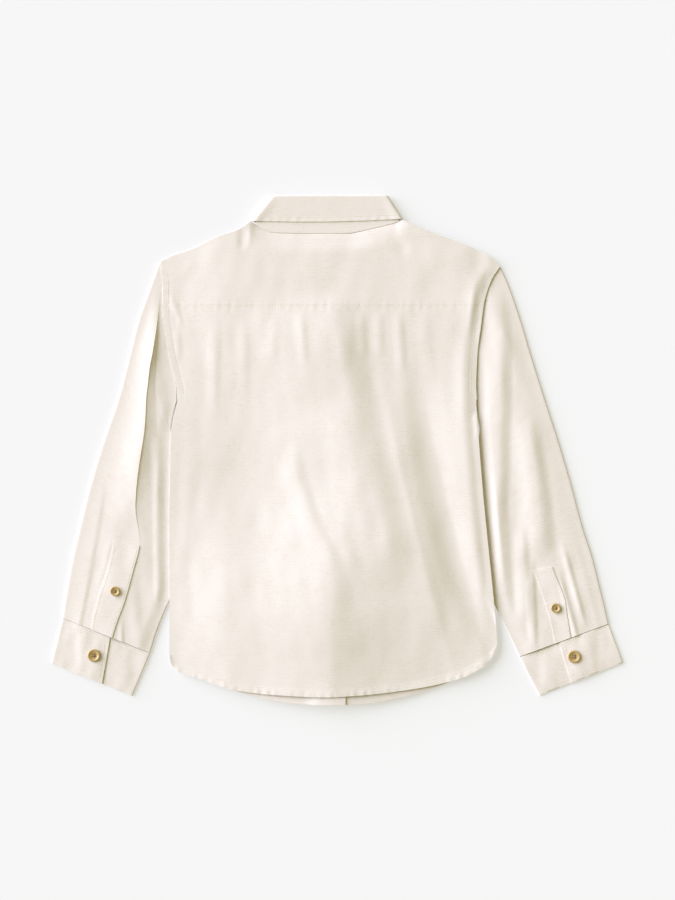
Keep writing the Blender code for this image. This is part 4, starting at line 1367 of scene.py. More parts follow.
    def build_back(self) -> bpy.types.Object:
        """Makes the back panel, from the yoke seam to the hem."""
        u = self.columns()
        x_low, y_low = self.lower_rows(u, HEM)
        top = self.yoke_seam_y - self.seam_half
        rows = round((top - self.underarm_y) / COTTON.pitch)
        y_up = np.linspace(top, self.underarm_y, rows + 1)[:-1, None] + 0.0 * u
        x_up = self.left_edge(y_up) * (1.0 - u) + self.right_edge(y_up) * u
        x, y = np.concatenate([x_up, x_low]), np.concatenate([y_up, y_low])
        under = self.back_under(x, y)
        return self.panel("back_cloth", "back_panel", x, y, under, self.FRONTS)

    def build_yoke(self) -> bpy.types.Object:
        """Makes the back yoke, from its seam up to the shoulders and the neck."""
        x, y = self.upper_rows(self.columns(), self.yoke_seam_y + self.seam_half, BACK_NECK)
        under = self.back_under(x, y)
        return self.panel("yoke_cloth", "back_yoke", x, y, under, self.FRONTS)

    def build_front(self, side: Side) -> bpy.types.Object:
        """Makes one front, from the shoulder to the hem.

        Args:
            side: Which front.

        Returns:
            The object.
        """
        u = self.columns()[::2]
        edge = 0.5 - side.value * self.front_overlap
        kept, end = (u[u < edge], 0.0) if side is Side.LEFT else (u[u > edge], 1.0)
        u = np.unique(np.concatenate([kept, [edge, end]]))
        x_low, y_low = self.lower_rows(u, FRONT_HEM)
        x_up, y_up = self.upper_rows(u, self.underarm_y, FRONT_NECK)
        x, y = np.concatenate([x_up[:-1], x_low]), np.concatenate([y_up[:-1], y_low])
        node = f"front_{side.word}"
        under = self.front_under(x, y, side)
        return self.panel(f"{node}_cloth", node, x, y, under, ["table"])


@dataclass
class Collar:
    """The collar: a leaf that turns down over a stand."""

    FOLD_LEFT = Spot(-64.8, 249.6)
    FOLD_RIGHT = Spot(51.5, 250.0)
    EDGE_LEFT = Spot(-84.5, 224.9)
    EDGE_RIGHT = Spot(66.3, 226.9)
    FRONT_TOP_LEFT = Spot(-12.0, 188.0)
    FRONT_TOP_RIGHT = Spot(-6.0, 188.0)
    POINT_LEFT = Spot(-42.0, 141.0)
    POINT_RIGHT = Spot(24.0, 141.0)

    finishes: Finishes
    torso: Torso
    edge_sag: float = 1.6
    stand_inset: float = 2.6
    stand_top_inset: float = 2.8
    stand_low_inset: float = 1.2
    stand_end_gap: float = 2.0
    neck_clear: float = 0.2
    front_clear: float = 1.6
    turn_inset: float = 0.9
    roll_reach: float = 0.6
    stitch_at: float = 0.82
    stitch_depth: float = 0.14
    edge_drop: float = 0.10
    settled_top: float = 0.75
    settled_under: float = 0.42
    settled_ramp: float = 0.08
    length: float = 130.0
    depth: float = 30.0
    rows: int = 14
    back_columns: int = 70
    front_columns: int = 40
    turn_steps: int = 8
    roll_steps: int = 5

    def column_line(
        self,
        left: Spot,
        right: Spot,
        ends: tuple[Spot, Spot],
        low: float,
        high: float,
        inner: float,
    ) -> list[tuple[float, float, float, float]]:
        """Gives one row of a band, from one front end round the back to the other.

        Args:
            left: The middle of the left turn.
            right: The middle of the right turn.
            ends: The two front ends.
            low: The height of the front part's outer face.
            high: The height of the back part's outer face.
            inner: How far inside the outer faces this row lies.

        Returns:
            X, Y, Z of each point, and how far along the band it is.
        """
        centre, radius = 0.5 * (low + high), 0.5 * (high - low) - inner
        front, back = (np.linspace(0.0, 1.0, n) for n in (self.front_columns, self.back_columns))
        west = round_fold(left, Spot(-1.0, 0.0), centre, radius, self.turn_steps, -1.0)
        east = round_fold(right, Spot(1.0, 0.0), centre, radius, self.turn_steps, 1.0)
        line = [(*mix(ends[0], left, s), centre - radius, s - 1.0) for s in front]
        line += [(x, y, z, 0.0) for x, y, z, _ in west]
        line += [(*mix(left, right, s), centre + radius, s) for s in back]
        line += [(x, y, z, 1.0) for x, y, z, _ in east]
        line += [(*mix(right, ends[1], s), centre - radius, 1.0 + s) for s in front]
        return line

    def build_leaf(self) -> bpy.types.Object:
        """Makes the leaf: its back lies on top, and its points lie under the fronts."""
        high = 3.0 * COTTON.layer + COTTON.wall
        radius = 0.5 * high
        step = radius * self.turn_inset
        skins = []
        for inner in (0.0, COTTON.shell):
            lines = []
            for i in range(-self.roll_steps, self.rows + 1):
                t = max(i, 0) / self.rows
                turn = 0.5 * math.pi * max(-i, 0) / self.roll_steps
                left, right = (
                    mix(self.FOLD_LEFT, self.EDGE_LEFT, t),
                    mix(self.FOLD_RIGHT, self.EDGE_RIGHT, t),
                )
                left, right = Spot(left.x + step, left.y), Spot(right.x - step, right.y)
                ends = (
                    mix(self.FRONT_TOP_LEFT, self.POINT_LEFT, t),
                    mix(self.FRONT_TOP_RIGHT, self.POINT_RIGHT, t),
                )
                line = np.array(self.column_line(left, right, ends, 0.0, high, inner))
                line[:, 2] = radius + (line[:, 2] - radius) * math.cos(turn)
                back = ease(0.0, 0.02, line[:, 3]) * (1.0 - ease(0.98, 1.0, line[:, 3]))
                sag = self.edge_sag * np.sin(math.pi * np.clip(line[:, 3], 0.0, 1.0)) * t
                rolled = (radius - inner) * math.sin(turn) * self.roll_reach
                line[:, 1] += back * (rolled - sag)
                lines.append(line)
            skins.append(np.array(lines))
        (high_skin, low_skin), around = (skin[..., :3].copy() for skin in skins), skins[0][..., 3]
        edge = np.linspace(0.0, 1.0, self.rows + 1)
        down = np.concatenate([np.zeros(self.roll_steps), edge])[:, None]
        groove = self.stitch_depth * np.exp(-(((down - self.stitch_at) / 0.03) ** 2))
        groove = groove - self.edge_drop * ease(0.84, 0.9, down)
        waves = Pucker(0.10, 9.0, 6.0, 8).at(high_skin[..., 0], (1.0 - down) * 24.0)
        on_top = (around > 0.0) & (around < 1.0)
        high_skin[..., 2] += np.where(on_top, waves - groove, 0.0)
        share, ramp = np.clip(around, 0.0, 1.0), self.settled_ramp
        settled = down * ease(0.0, ramp, share) * ease(0.0, ramp, 1.0 - share)
        high_skin[..., 2] -= self.settled_top * settled
        low_skin[..., 2] -= self.settled_under * settled
        for skin in (high_skin, low_skin):
            skin[..., 2] = self.torso.lofted(skin[..., 0], skin[..., 1], skin[..., 2])
        grain = [around * self.length, down * self.depth + 0.0 * around, high_skin[..., 2]]
        grain = np.stack(grain, axis=-1)
        made = Shell(high_skin, low_skin).build("collar_leaf_cloth", grain, self.finishes.cotton)
        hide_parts("collar_leaf")
        area = cut_area(low_skin)
        return made

    def build_stand(self) -> bpy.types.Object:
        """Makes the stand, inside the leaf, from the neck seam up to where the leaf turns."""
        low, high = COTTON.layer, 2.0 * COTTON.layer + COTTON.wall
        radius = 0.5 * (high - low)
        step = self.stand_inset + radius
        left_top = Spot(self.FOLD_LEFT.x + step, self.FOLD_LEFT.y - self.stand_top_inset)
        right_top = Spot(self.FOLD_RIGHT.x - step, self.FOLD_RIGHT.y - self.stand_top_inset)
        left_low = Spot(self.EDGE_LEFT.x + step, self.EDGE_LEFT.y - self.stand_low_inset)
        right_low = Spot(self.EDGE_RIGHT.x - step, self.EDGE_RIGHT.y - self.stand_low_inset)
        front_y = min(p.y for p in FRONT_NECK)
        middle = float(self.torso.centre_x(front_y))
        near, far = middle - 0.5 * self.stand_end_gap, middle + 0.5 * self.stand_end_gap
        top, foot = self.FRONT_TOP_LEFT.y, front_y + self.front_clear
        skins = []
        for inner in (0.0, COTTON.shell):
            ends = Spot(near, foot), Spot(far, foot)
            x, y, z, _ = np.array(self.column_line(left_low, right_low, ends, low, high, inner)).T
            front = y_on(FRONT_NECK, x) + self.front_clear
            back = y_on(BACK_NECK, x) + self.neck_clear
            drop = np.minimum(np.where(z > 0.5 * (low + high), back, front), y) - y
            lines = []
            for i in range(self.rows + 1):
                t = i / self.rows
                left, right = mix(left_top, left_low, t), mix(right_top, right_low, t)
                ends = Spot(near, top + (foot - top) * t), Spot(far, top + (foot - top) * t)
                line = np.array(self.column_line(left, right, ends, low, high, inner))[:, :3]
                line[:, 1] += t * drop
                line[:, 2] = self.torso.lofted(line[:, 0], line[:, 1], line[:, 2])
                lines.append(line)
            skins.append(np.array(lines))
        outer = skins[0]
        made = Shell(*skins).build("collar_stand_cloth", outer, self.finishes.cotton)
        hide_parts("collar_stand")
        cut_area(outer)
        return made


@dataclass
class Sleeve:
    """A sleeve as a flat tube, its slit's strip, and the folds that lie in it."""

    finishes: Finishes
    torso: Torso
    side: Side
    rows_per_section: int = 17
    upper_columns: int = 88
    lower_columns: int = 22
    turn_steps: int = 7
    roll: float = 14.0
    crown: float = 1.0
    crown_fade: tuple = (-0.5, 2.5)
    edge_outer: float = 0.26
    edge_outer_left: float = 0.42
    edge_inner: float = 0.14
    under_body_y: float = 52.5
    under_body_ramp: float = 50.0
    head_sections: float = 3.0
    seam_turn: float = 0.86
    armhole_clear: float = 0.15
    lap_height: float = 3.6
    lap_slope: float = 44.0
    lap_drop: float = 1.4
    lap_step: float = 0.20
    lap_fall: float = 21.0
    lap_overhang: float = 0.3
    lap_power: float = 1.2
    lap_narrow_power: float = 1.9
    lap_start: tuple = (0.0, 1.6)
    lap_end: tuple = (5.2, 7.2)
    slit_start: tuple = (6.6, 7.6)
    slit_share: float = 0.22
    column_power: float = 1.5
    strip_width_steps: int = 14
    strip_first: float = 7.0
    strip_clear: float = 0.12
    strip_lift: float = 0.15
    strip_wall: float = 0.4
    ripples: Ripples = Ripples(seed=23, height=0.05, shortest=12.0, longest=44.0)

    def __post_init__(self) -> None:
        """Picks this side's tables and works out the grid of places."""
        left = self.side is Side.LEFT
        self.sections = SLEEVE_LEFT if left else SLEEVE_RIGHT
        self.folds = SLEEVE_LEFT_FOLDS if left else SLEEVE_RIGHT_FOLDS
        self.armhole = ARMHOLE_LEFT if left else ARMHOLE_RIGHT
        last = len(self.sections) - 1
        self.t = np.linspace(0.0, last, last * self.rows_per_section + 1)
        self.crease = self.column("crease")[:, None]
        self.strip = self.column("strip")[:, None]
        self.width = np.hypot(
            self.column("inner_x") - self.column("outer_x"),
            self.column("inner_y") - self.column("outer_y"),
        )[:, None]

    def column(self, name: str) -> np.ndarray:
        """Gives one column of the table of sections, smoothed through its rows."""
        values = [getattr(row, name) for row in self.sections]
        return through(range(len(values)), values, self.t)

    def fractions(self) -> np.ndarray:
        """Gives where the columns of points lie across each row, close together at the crease."""
        outer = round(self.upper_columns * 0.45)
        near = np.linspace(0.0, 1.0, outer)
        near = 1.0 - (1.0 - near) ** self.column_power
        far = np.linspace(0.0, 1.0, self.upper_columns - outer + 1)[1:] ** self.column_power
        first = near[None, :] * self.crease
        return np.concatenate([first, self.crease + far[None, :] * (1.0 - self.crease)], axis=1)

    def edges(self) -> tuple:
        """Gives the middle of each fold's turn and the way out of it, outer fold first."""
        radius = 0.5 * (COTTON.layer + COTTON.wall)
        made = []
        for which, sign in (("outer", self.side.value), ("inner", -self.side.value)):
            x, y = self.column(f"{which}_x"), self.column(f"{which}_y")
            dx, dy = np.gradient(x), np.gradient(y)
            length = np.hypot(dx, dy)
            out = -dy / length * sign, dx / length * sign
            made += [(x - out[0] * radius, y - out[1] * radius), out]
        return tuple(made)

    def places(self, v: np.ndarray) -> tuple[np.ndarray, np.ndarray]:
        """Gives places across each row, bowed to the armhole near the top.

        Args:
            v: The shares of the width, a row at a time.

        Returns:
            X and Y of each place.
        """
        (ox, oy), _, (ix, iy), _ = self.edges()
        x = ox[:, None] * (1.0 - v) + ix[:, None] * v
        y = oy[:, None] * (1.0 - v) + iy[:, None] * v
        seam_y = np.clip(y[0], self.torso.underarm_y + 0.01, self.armhole[0].y)
        turn = (COTTON.layer + COTTON.wall) * 0.5 * ease(self.seam_turn, 1.0, v[0])
        seam_x = x_on(self.armhole, seam_y) + self.side.value * (self.armhole_clear + turn)
        fall = 1.0 - ease(0.0, self.head_sections, self.t)[:, None]
        return x + (seam_x - x[0]) * fall, y + (seam_y - y[0]) * fall

    def lapped(self, v: np.ndarray) -> tuple[np.ndarray, np.ndarray]:
        """Gives the height and overhang of the long crease, where one side laps the other.

        Args:
            v: The shares of the width, a row at a time.

        Returns:
            The height and the way that the crest leans over, at each place.
        """
        off = (v - self.crease) * self.width
        rise = np.clip(1.0 + off / self.lap_slope, 0.0, 1.0) ** self.lap_power
        step = self.lap_step * ease(0.0, self.lap_drop, off)
        away = np.clip(off / self.lap_fall, 0.0, 1.0)
        fall = 1.0 - step - (1.0 - self.lap_step) * away * (1.6 - 0.6 * away)
        strong = (ease(*self.lap_start, self.t) * (1.0 - ease(*self.lap_end, self.t)))[:, None]
        slit = ease(*self.slit_start, self.t)[:, None] * self.slit_share
        room = np.minimum(self.crease * self.width / self.lap_slope, 1.0) ** self.lap_narrow_power
        height = (strong + slit) * self.lap_height * room * np.where(off > 0.0, fall, rise)
        crest = np.exp(-((np.minimum(off, 0.0) / 2.5) ** 2))
        crest = crest * (1.0 - ease(0.0, self.lap_drop, off))
        return height, self.lap_overhang * strong * crest

    def relief(self, x: np.ndarray, y: np.ndarray, v: np.ndarray) -> np.ndarray:
        """Gives how far the upper wall stands above a flat one.

        Args:
            x: Where each place is, across.
            y: Where it is, towards the collar.
            v: Its share of the width.

        Returns:
            The height at each place.
        """
        left = self.side is Side.LEFT
        edge = self.torso.left_edge(y) if left else self.torso.right_edge(y)
        clear = (x - edge) * self.side.value
        beside = ease(1.0, self.roll, clear)
        low, high = self.under_body_y, self.under_body_y + self.under_body_ramp
        beside = beside + (1.0 - beside) * ease(low, high, y)
        outer = self.edge_outer_left if left else self.edge_outer
        across = ease(0.0, outer, v) * ease(0.0, self.edge_inner, 1.0 - v)
        own = self.crown * ease(*self.crown_fade, self.t)[:, None]
        own = own + fold_height(self.folds, x, y) + self.ripples.at(x, y)
        if left:
            own = own + self.lapped(v)[0]
        return np.maximum(across * beside * own, 0.0)

    def build(self) -> bpy.types.Object:
        """Makes the tube, and keeps its upper wall's points for what lies on it."""
        v = self.fractions()
        x, y = self.places(v)
        top = COTTON.layer + COTTON.wall + self.relief(x, y, v)
        x_top = x + (self.lapped(v)[1] if self.side is Side.LEFT else 0.0)
        flat = np.linspace(0.96, 0.04, self.lower_columns)[None, :] + 0.0 * self.t[:, None]
        low_x, low_y = self.places(flat)
        _, out, _, back = self.edges()
        skins = []
        for inner in (0.0, COTTON.shell):
            upper = np.stack([x_top, y, top - inner], axis=-1)
            lower = np.stack([low_x, low_y, np.full_like(low_x, inner)], axis=-1)
            inner_turn = self.turn(x[:, -1], y[:, -1], back, inner, 1.0)
            outer_turn = self.turn(x[:, 0], y[:, 0], out, inner, -1.0)
            skins.append(np.concatenate([upper, inner_turn, lower, outer_turn], axis=1))
        self.v, self.x, self.y, self.top = v, x_top, y, top
        step = np.hypot(*np.moveaxis(np.diff(skins[0][..., :2], axis=1), -1, 0))
        around = np.concatenate([np.zeros((len(self.t), 1)), np.cumsum(step, axis=1)], axis=1)
        middle = v.shape[1] // 2
        length = np.cumsum(np.hypot(np.diff(x[:, middle]), np.diff(y[:, middle])))
        along = -np.concatenate([[0.0], length])[:, None] + 0.0 * around
        grain = np.stack([around, along, 7.0 * self.side.value + 0.0 * along], axis=-1)
        name = f"sleeve_{self.side.word}_cloth"
        made = Shell(*skins, ring=True).build(name, grain, self.finishes.cotton)
        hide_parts(f"sleeve_{self.side.word}")
        area = 2.0 * cut_area(np.stack([x, y, 0.0 * x], axis=-1))
        return made

    def turn(
        self,
        x: np.ndarray,
        y: np.ndarray,
        out: tuple[np.ndarray, np.ndarray],
        inner: float,
        way: float,
    ) -> np.ndarray:
        """Gives points round one fold: down from the upper wall, or up to it.

        Args:
            x: X of the middle of the turn, for each row.
            y: Y of it.
            out: The way out of the fold.
            inner: How far inside the outer faces the points lie.
            way: 1 from the upper wall down, -1 from the lower wall up.

        Returns:
            The points, a row at a time.
        """
        centre = 0.5 * (COTTON.layer + COTTON.wall)
        radius = centre - inner
        made = []
        for i in range(self.turn_steps + 1):
            angle = math.pi * (0.5 - i / self.turn_steps) * way
            reach, height = radius * math.cos(angle), centre + radius * math.sin(angle)
            line = [x + out[0] * reach, y + out[1] * reach, np.full_like(x, height)]
            made.append(np.stack(line, axis=-1))
        return np.stack(made[1:] if way > 0 else made[:-1], axis=1)

    def sample(self, v: np.ndarray, rows: slice) -> tuple[np.ndarray, np.ndarray, np.ndarray]:
        """Reads the upper wall between its columns of points.

        Args:
            v: The shares of the width, a row at a time.
            rows: Which rows.

        Returns:
            X, Y and the height of the upper face at each place.
        """
        made = []
        for grid in (self.x, self.y, self.top):
            lines = [np.interp(a, b, c) for a, b, c in zip(v, self.v[rows], grid[rows])]
            made.append(np.array(lines))
        return made[0], made[1], made[2]

    def build_strip(self) -> bpy.types.Object:
        """Makes the strip over the slit, with a stitched box at its top."""
        first = self.strip_first + (0.0 if self.side is Side.LEFT else 1.0)
        rows = slice(round(first * self.rows_per_section), None)
        share = np.linspace(0.0, 1.0, self.strip_width_steps)[None, :]
        strip, crease = self.strip[rows], self.crease[rows]
        v = strip + share * (crease - strip)
        x, y, top = self.sample(v, rows)
        edge = ease(0.0, 0.12, share) * ease(0.0, 0.12, 1.0 - share)
        lift = self.strip_lift * ease(0.0, 1.0, share if self.side is Side.LEFT else 1.0 - share)
        under = top + self.strip_clear + 0.1 * edge + lift
        low = np.stack([x, y, under], axis=-1)
        high = np.stack([x, y, under + self.strip_wall], axis=-1)
        name = f"placket_{self.side.word}_cloth"
        made = Shell(high, low).build(name, low, self.finishes.cotton)
        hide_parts(f"placket_{self.side.word}")
        cut_area(high)
        self.strip_x, self.strip_y, self.strip_top = x, y, high[..., 2]
        return made


@dataclass
class Cuff:
    """A cuff: a flat band whose upper lap lies over its under lap and buttons to it."""

    finishes: Finishes
    side: Side
    lap_hidden: float = 0.24
    lap_ramp: float = 0.22
    lap_clear: float = 0.03
    seam_reach: float = 0.0062
    rows: int = 22
    upper_steps: int = 34
    under_steps: int = 22
    inner_steps: int = 26
    turn_steps: int = 8
    height: float = 45.0
    stitch_inset: float = 4.6
    stitch_depth: float = 0.18
    edge_drop: float = 0.25
    pad: float = 0.30
    pad_ramp: float = 14.0
    ripples: Ripples = Ripples(31, 14, 9.0, 30.0, 0.07)

    PLANS = {
        Side.LEFT: CuffPlan(
            Spot(-273.9, -171.9),
            Spot(-285.2, -216.5),
            Spot(-186.4, -207.0),
            Spot(-204.0, -249.0),
            0.545,
            0.63,
            Spot(-242.1, -208.5),
        ),
        Side.RIGHT: CuffPlan(
            Spot(272.2, -177.6),
            Spot(286.4, -215.9),
            Spot(182.8, -210.8),
            Spot(202.5, -248.8),
            0.555,
            0.615,
            Spot(237.0, -209.7),
        ),
    }

    def top_face(self) -> float:
        """Gives the height of the upper lap's face."""
        return 2.0 * (COTTON.cuff_wall + COTTON.cuff_gap) + COTTON.cuff_wall

    def row(self, t: float, inner: float) -> list[tuple[float, float, float, float]]:
        """Gives one row of the band, from the upper lap's edge round to the under lap's end.

        Args:
            t: How far down the cuff, from 0 at its seam to 1 at its edge.
            inner: How far inside the band's outer faces this row lies.

        Returns:
            X, Y, Z of each point, and how far round the band it is.
        """
        plan = self.PLANS[self.side]
        sign = self.side.value
        wall, gap = COTTON.cuff_wall, COTTON.cuff_gap
        radius = 0.5 * (2.0 * wall + gap)
        out = outward(plan.outer_seam, plan.outer_edge, sign)
        back = outward(plan.inner_seam, plan.inner_edge, -sign)
        low_top, high = wall + gap, 2.0 * (wall + gap)
        start, end, lap = plan.at(t - self.seam_reach * (1.0 - t))
        start, end = inset(start, out, radius), inset(end, back, radius)
        across = math.hypot(end.x - start.x, end.y - start.y)
        hidden = lap - self.lap_hidden
        line = []
        for v in lap * np.linspace(1.0, 0.0, self.upper_steps):
            rise = float(ease(hidden - self.lap_ramp, hidden - self.lap_clear, v))
            height = low_top + (high - low_top) * rise + wall - inner
            line.append((*mix(start, end, v), height, v * across))
        upper = round_fold(start, out, radius, radius - inner, self.turn_steps, 1.0)
        line += [(x, y, z, -reach) for x, y, z, reach in upper]
        for s in np.linspace(0.0, 1.0, self.under_steps):
            line.append((*mix(start, end, s), inner, -s * across))
        lower = round_fold(end, back, radius, radius - inner, self.turn_steps, -1.0)
        line += [(x, y, z, across + reach) for x, y, z, reach in lower]
        for v in 1.0 + (hidden - 1.0) * np.linspace(0.0, 1.0, self.inner_steps):
            line.append((*mix(start, end, v), low_top + wall - inner, v * across))
        return line

    def build(self) -> bpy.types.Object:
        """Makes the band, its edges drawn in along the stitching."""
        steps = np.linspace(0.0, 1.0, self.rows + 1)
        high, low = (
            np.array([self.row(float(t), inner) for t in steps]) for inner in (0.0, COTTON.shell)
        )
        high, around, low = high[..., :3], high[..., 3], low[..., :3]
        down = steps[:, None] * self.height
        rim = np.minimum(down, self.height - down)
        groove = self.stitch_depth * np.exp(-(((rim - self.stitch_inset) / 0.7) ** 2))
        groove = groove + self.edge_drop * (1.0 - ease(0.0, 2.0, rim))
        facing = high[..., 2] > COTTON.cuff_wall + COTTON.cuff_gap
        pad = self.pad * ease(0.0, self.pad_ramp, rim) + self.ripples.at(around, down)
        high[..., 2] += np.where(facing, pad - groove, 0.0)
        grain = np.stack([around, -down + 0.0 * around, high[..., 2]], axis=-1)
        name = f"cuff_{self.side.word}_cloth"
        made = Shell(high, low).build(name, grain, self.finishes.cotton)
        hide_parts(f"cuff_{self.side.word}")
        cut_area(low)
        return made


class Ring(NamedTuple):
    """One ring of a button: shares of its radius and of its thickness."""

    radius: float
    height: float


@dataclass
class Button:
    """A sewn-through button with four holes, and the thread that crosses them."""

    finishes: Finishes
    name: str
    node: str
    spot: Spot
    base: float
    size: float
    thick: float
    holes: bool = True
    sides: int = 40
    hole_radius: float = 0.085
    hole_spread: float = 0.13
    thread_radius: float = 0.30
    thread_apart: float = 0.22
    thread_sunk: float = 0.58

    RINGS = table_of(
        Ring,
        (0.78, 0.0),
        (0.92, 0.10),
        (1.0, 0.38),
        (1.0, 0.62),
        (0.965, 0.86),
        (0.90, 0.98),
        (0.83, 1.0),
        (0.76, 0.95),
        (0.66, 0.80),
        (0.58, 0.66),
        (0.50, 0.60),
        (0.30, 0.57),
    )

    def build(self) -> None:
        """Makes the button and its thread."""
        points, faces = [(self.spot.x, self.spot.y, self.base)], []
        for ring in self.RINGS:
            r, z = 0.5 * self.size * ring.radius, self.base + self.thick * ring.height
            for i in range(self.sides):
                angle = 2.0 * math.pi * i / self.sides
                x, y = self.spot.x + r * math.cos(angle), self.spot.y + r * math.sin(angle)
                points.append((x, y, z))
        points.append((self.spot.x, self.spot.y, self.base + self.thick * self.RINGS[-1].height))
        rings, last = len(self.RINGS), len(points) - 1
        for i in range(self.sides):
            j = (i + 1) % self.sides
            faces.append((0, 1 + j, 1 + i))
            for k in range(rings - 1):
                a, b = 1 + k * self.sides, 1 + (k + 1) * self.sides
                faces.append((a + i, a + j, b + j, b + i))
            a = 1 + (rings - 1) * self.sides
            faces.append((a + i, a + j, last))
        grid = np.array(points)
        made = link_mesh(self.name, grid, faces, grid, self.finishes.horn)
        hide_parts(self.node)
        if self.holes:
            self.cut_holes(made)
            self.build_thread()

    def hole_spots(self) -> list[Spot]:
        """Gives the middles of the four holes."""
        spread = self.hole_spread * self.size
        turns = [2.0 * math.pi * (k + 0.5) / 4.0 for k in range(4)]
        return [
            Spot(self.spot.x + spread * math.cos(a), self.spot.y + spread * math.sin(a))
            for a in turns
        ]

    @staticmethod
    def place(spot: Spot, z: float) -> tuple[float, float, float]:
        """Gives a place in metres, from the middle of the shirt's length."""
        return spot.x * MM, (spot.y - MIDDLE_Y) * MM, z * MM

    def cut_holes(self, made: bpy.types.Object) -> None:
        """Cuts the holes through the button.

        Args:
            made: The button.
        """
        for spot in self.hole_spots():
            bpy.ops.mesh.primitive_cylinder_add(
                vertices=14,
                radius=self.hole_radius * self.size * MM,
                depth=4.0 * self.thick * MM,
                location=self.place(spot, self.base + 0.5 * self.thick),
            )
            cutter = bpy.context.object
            cut = made.modifiers.new("hole", "BOOLEAN")
            cut.object, cut.operation, cut.solver = cutter, "DIFFERENCE", "EXACT"
            with bpy.context.temp_override(object=made, active_object=made):
                bpy.ops.object.modifier_apply(modifier=cut.name)
            bpy.data.objects.remove(cutter)

    def build_thread(self) -> None:
        """Makes the two pairs of stitches that cross between the holes."""
        spots, rods = self.hole_spots(), Rods(self.thread_radius)
        face = self.base + self.thick * self.thread_sunk
        for one, two, rise in ((spots[0], spots[2], 0.32), (spots[1], spots[3], 0.48)):
            way = outward(one, two, 1.0)
            steps = (0.0, 0.08, 0.3, 0.5, 0.7, 0.92, 1.0)
            rises = (-0.9, 0.05, rise, rise + 0.05, rise, 0.05, -0.9)
            for shift in (-self.thread_apart, self.thread_apart):
                line = []
                for s, z in zip(steps, rises):
                    at = mix(one, two, s)
                    line.append((at.x + way.x * shift, at.y + way.y * shift, face + z))
                rods.add(np.array(line))
        rods.build(f"{self.name}_thread", self.finishes.button_thread)


class Rods:
    """Thin round threads along lines, gathered in one mesh."""

    def __init__(self, radius: float, sides: int = 6) -> None:
        """Starts an empty bundle.

        Args:
            radius: The thread's radius.
            sides: The sides of its section.
        """
        self.radius, self.sides = radius, sides
        self.points: list[np.ndarray] = []
        self.faces: list[list[int]] = []
        self.count = 0

    def add(self, line: np.ndarray, ends: float = 0.35) -> None:
        """Adds a thread along a line.

        Args:
            line: Its points.
            ends: How thick its two ends are, as a share of the rest.
        """
        way = np.gradient(line, axis=0)
        way /= np.maximum(np.linalg.norm(way, axis=1, keepdims=True), 1e-9)
        side = np.cross(way, (0.0, 0.0, 1.0))
        flat = np.linalg.norm(side, axis=1) < 0.1
        side[flat] = (1.0, 0.0, 0.0)
        side /= np.linalg.norm(side, axis=1, keepdims=True)
        up = np.cross(side, way)
        thick = np.full(len(line), self.radius)
        thick[[0, -1]] *= ends
        for k in range(self.sides):
            angle = 2.0 * math.pi * k / self.sides
            turned = side * math.cos(angle) + up * math.sin(angle)
            self.points.append(line + turned * thick[:, None])
        n, base = len(line), self.count
        for k in range(self.sides):
            a, b = base + k * n, base + (k + 1) % self.sides * n
            for i in range(n - 1):
                self.faces.append([a + i, a + i + 1, b + i + 1, b + i])
        self.faces.append([base + k * n for k in range(self.sides)])
        self.faces.append([base + k * n + n - 1 for k in reversed(range(self.sides))])
        self.count += n * self.sides

    def build(self, name: str, finish: bpy.types.Material) -> bpy.types.Object:
        """Makes the object."""
        points = np.concatenate(self.points)
        return link_mesh(name, points, self.faces, points, finish)


@dataclass
class Stitching:
    """Rows of topstitching, laid on the faces of the cloth that they go through."""

    SPANS = (0.0, 0.15, 0.5, 0.85, 1.0)
    RISES = (-0.25, 0.06, 0.12, 0.06, -0.25)

    finishes: Finishes
    pitch: float = 3.1
    stitch: float = 2.3
    radius: float = 0.17
    sunk: float = 0.03

    def sew(self, name: str, cloth: bpy.types.Object, rows: Sequence[np.ndarray]) -> None:
        """Sews rows of stitches on the upper face of a piece.

        Args:
            name: The new piece's name.
            cloth: The piece that they lie on.
            rows: The rows, as X and Y of points along each.
        """
        rods = Rods(self.radius, 5)
        space = self.pitch - self.stitch
        for row in rows:
            step = np.hypot(*np.diff(row, axis=0).T)
            length = np.concatenate([[0.0], np.cumsum(step)])
            for start in np.arange(0.5 * space, length[-1] - self.stitch, self.pitch):
                at = start + self.stitch * np.array(self.SPANS)
                x, y = np.interp(at, length, row[:, 0]), np.interp(at, length, row[:, 1])
                heights = [self.face(cloth, a, b) for a, b in zip(x, y)]
                if None in heights:
                    continue
                z = np.array(heights) + np.array(self.RISES) - self.sunk
                rods.add(np.stack([x, y, z], axis=1))
        rods.build(name, self.finishes.thread)

    @staticmethod
    def face(cloth: bpy.types.Object, x: float, y: float) -> Union[float, None]:
        """Gives the height of a piece's upper face.

        Args:
            cloth: The piece.
            x: Where, across.
            y: Where, towards the collar.

        Returns:
            The height, or None beside the piece.
        """
        above = Vector((x * MM, (y - MIDDLE_Y) * MM, 0.1))
        hit, place, _, _ = cloth.ray_cast(above, Vector((0.0, 0.0, -1.0)))
        return place.z / MM if hit else None


def line_of(spots: Sequence[Spot], count: int = 80) -> np.ndarray:
    """Gives evenly shared points along straight stretches between spots.

    Args:
        spots: The spots.
        count: How many points.

    Returns:
        X and Y of each point.
    """
    corner = np.array(spots, float)
    length = np.concatenate([[0.0], np.cumsum(np.hypot(*np.diff(corner, axis=0).T))])
    at = np.linspace(0.0, length[-1], count)
    return np.stack([np.interp(at, length, corner[:, k]) for k in (0, 1)], axis=1)


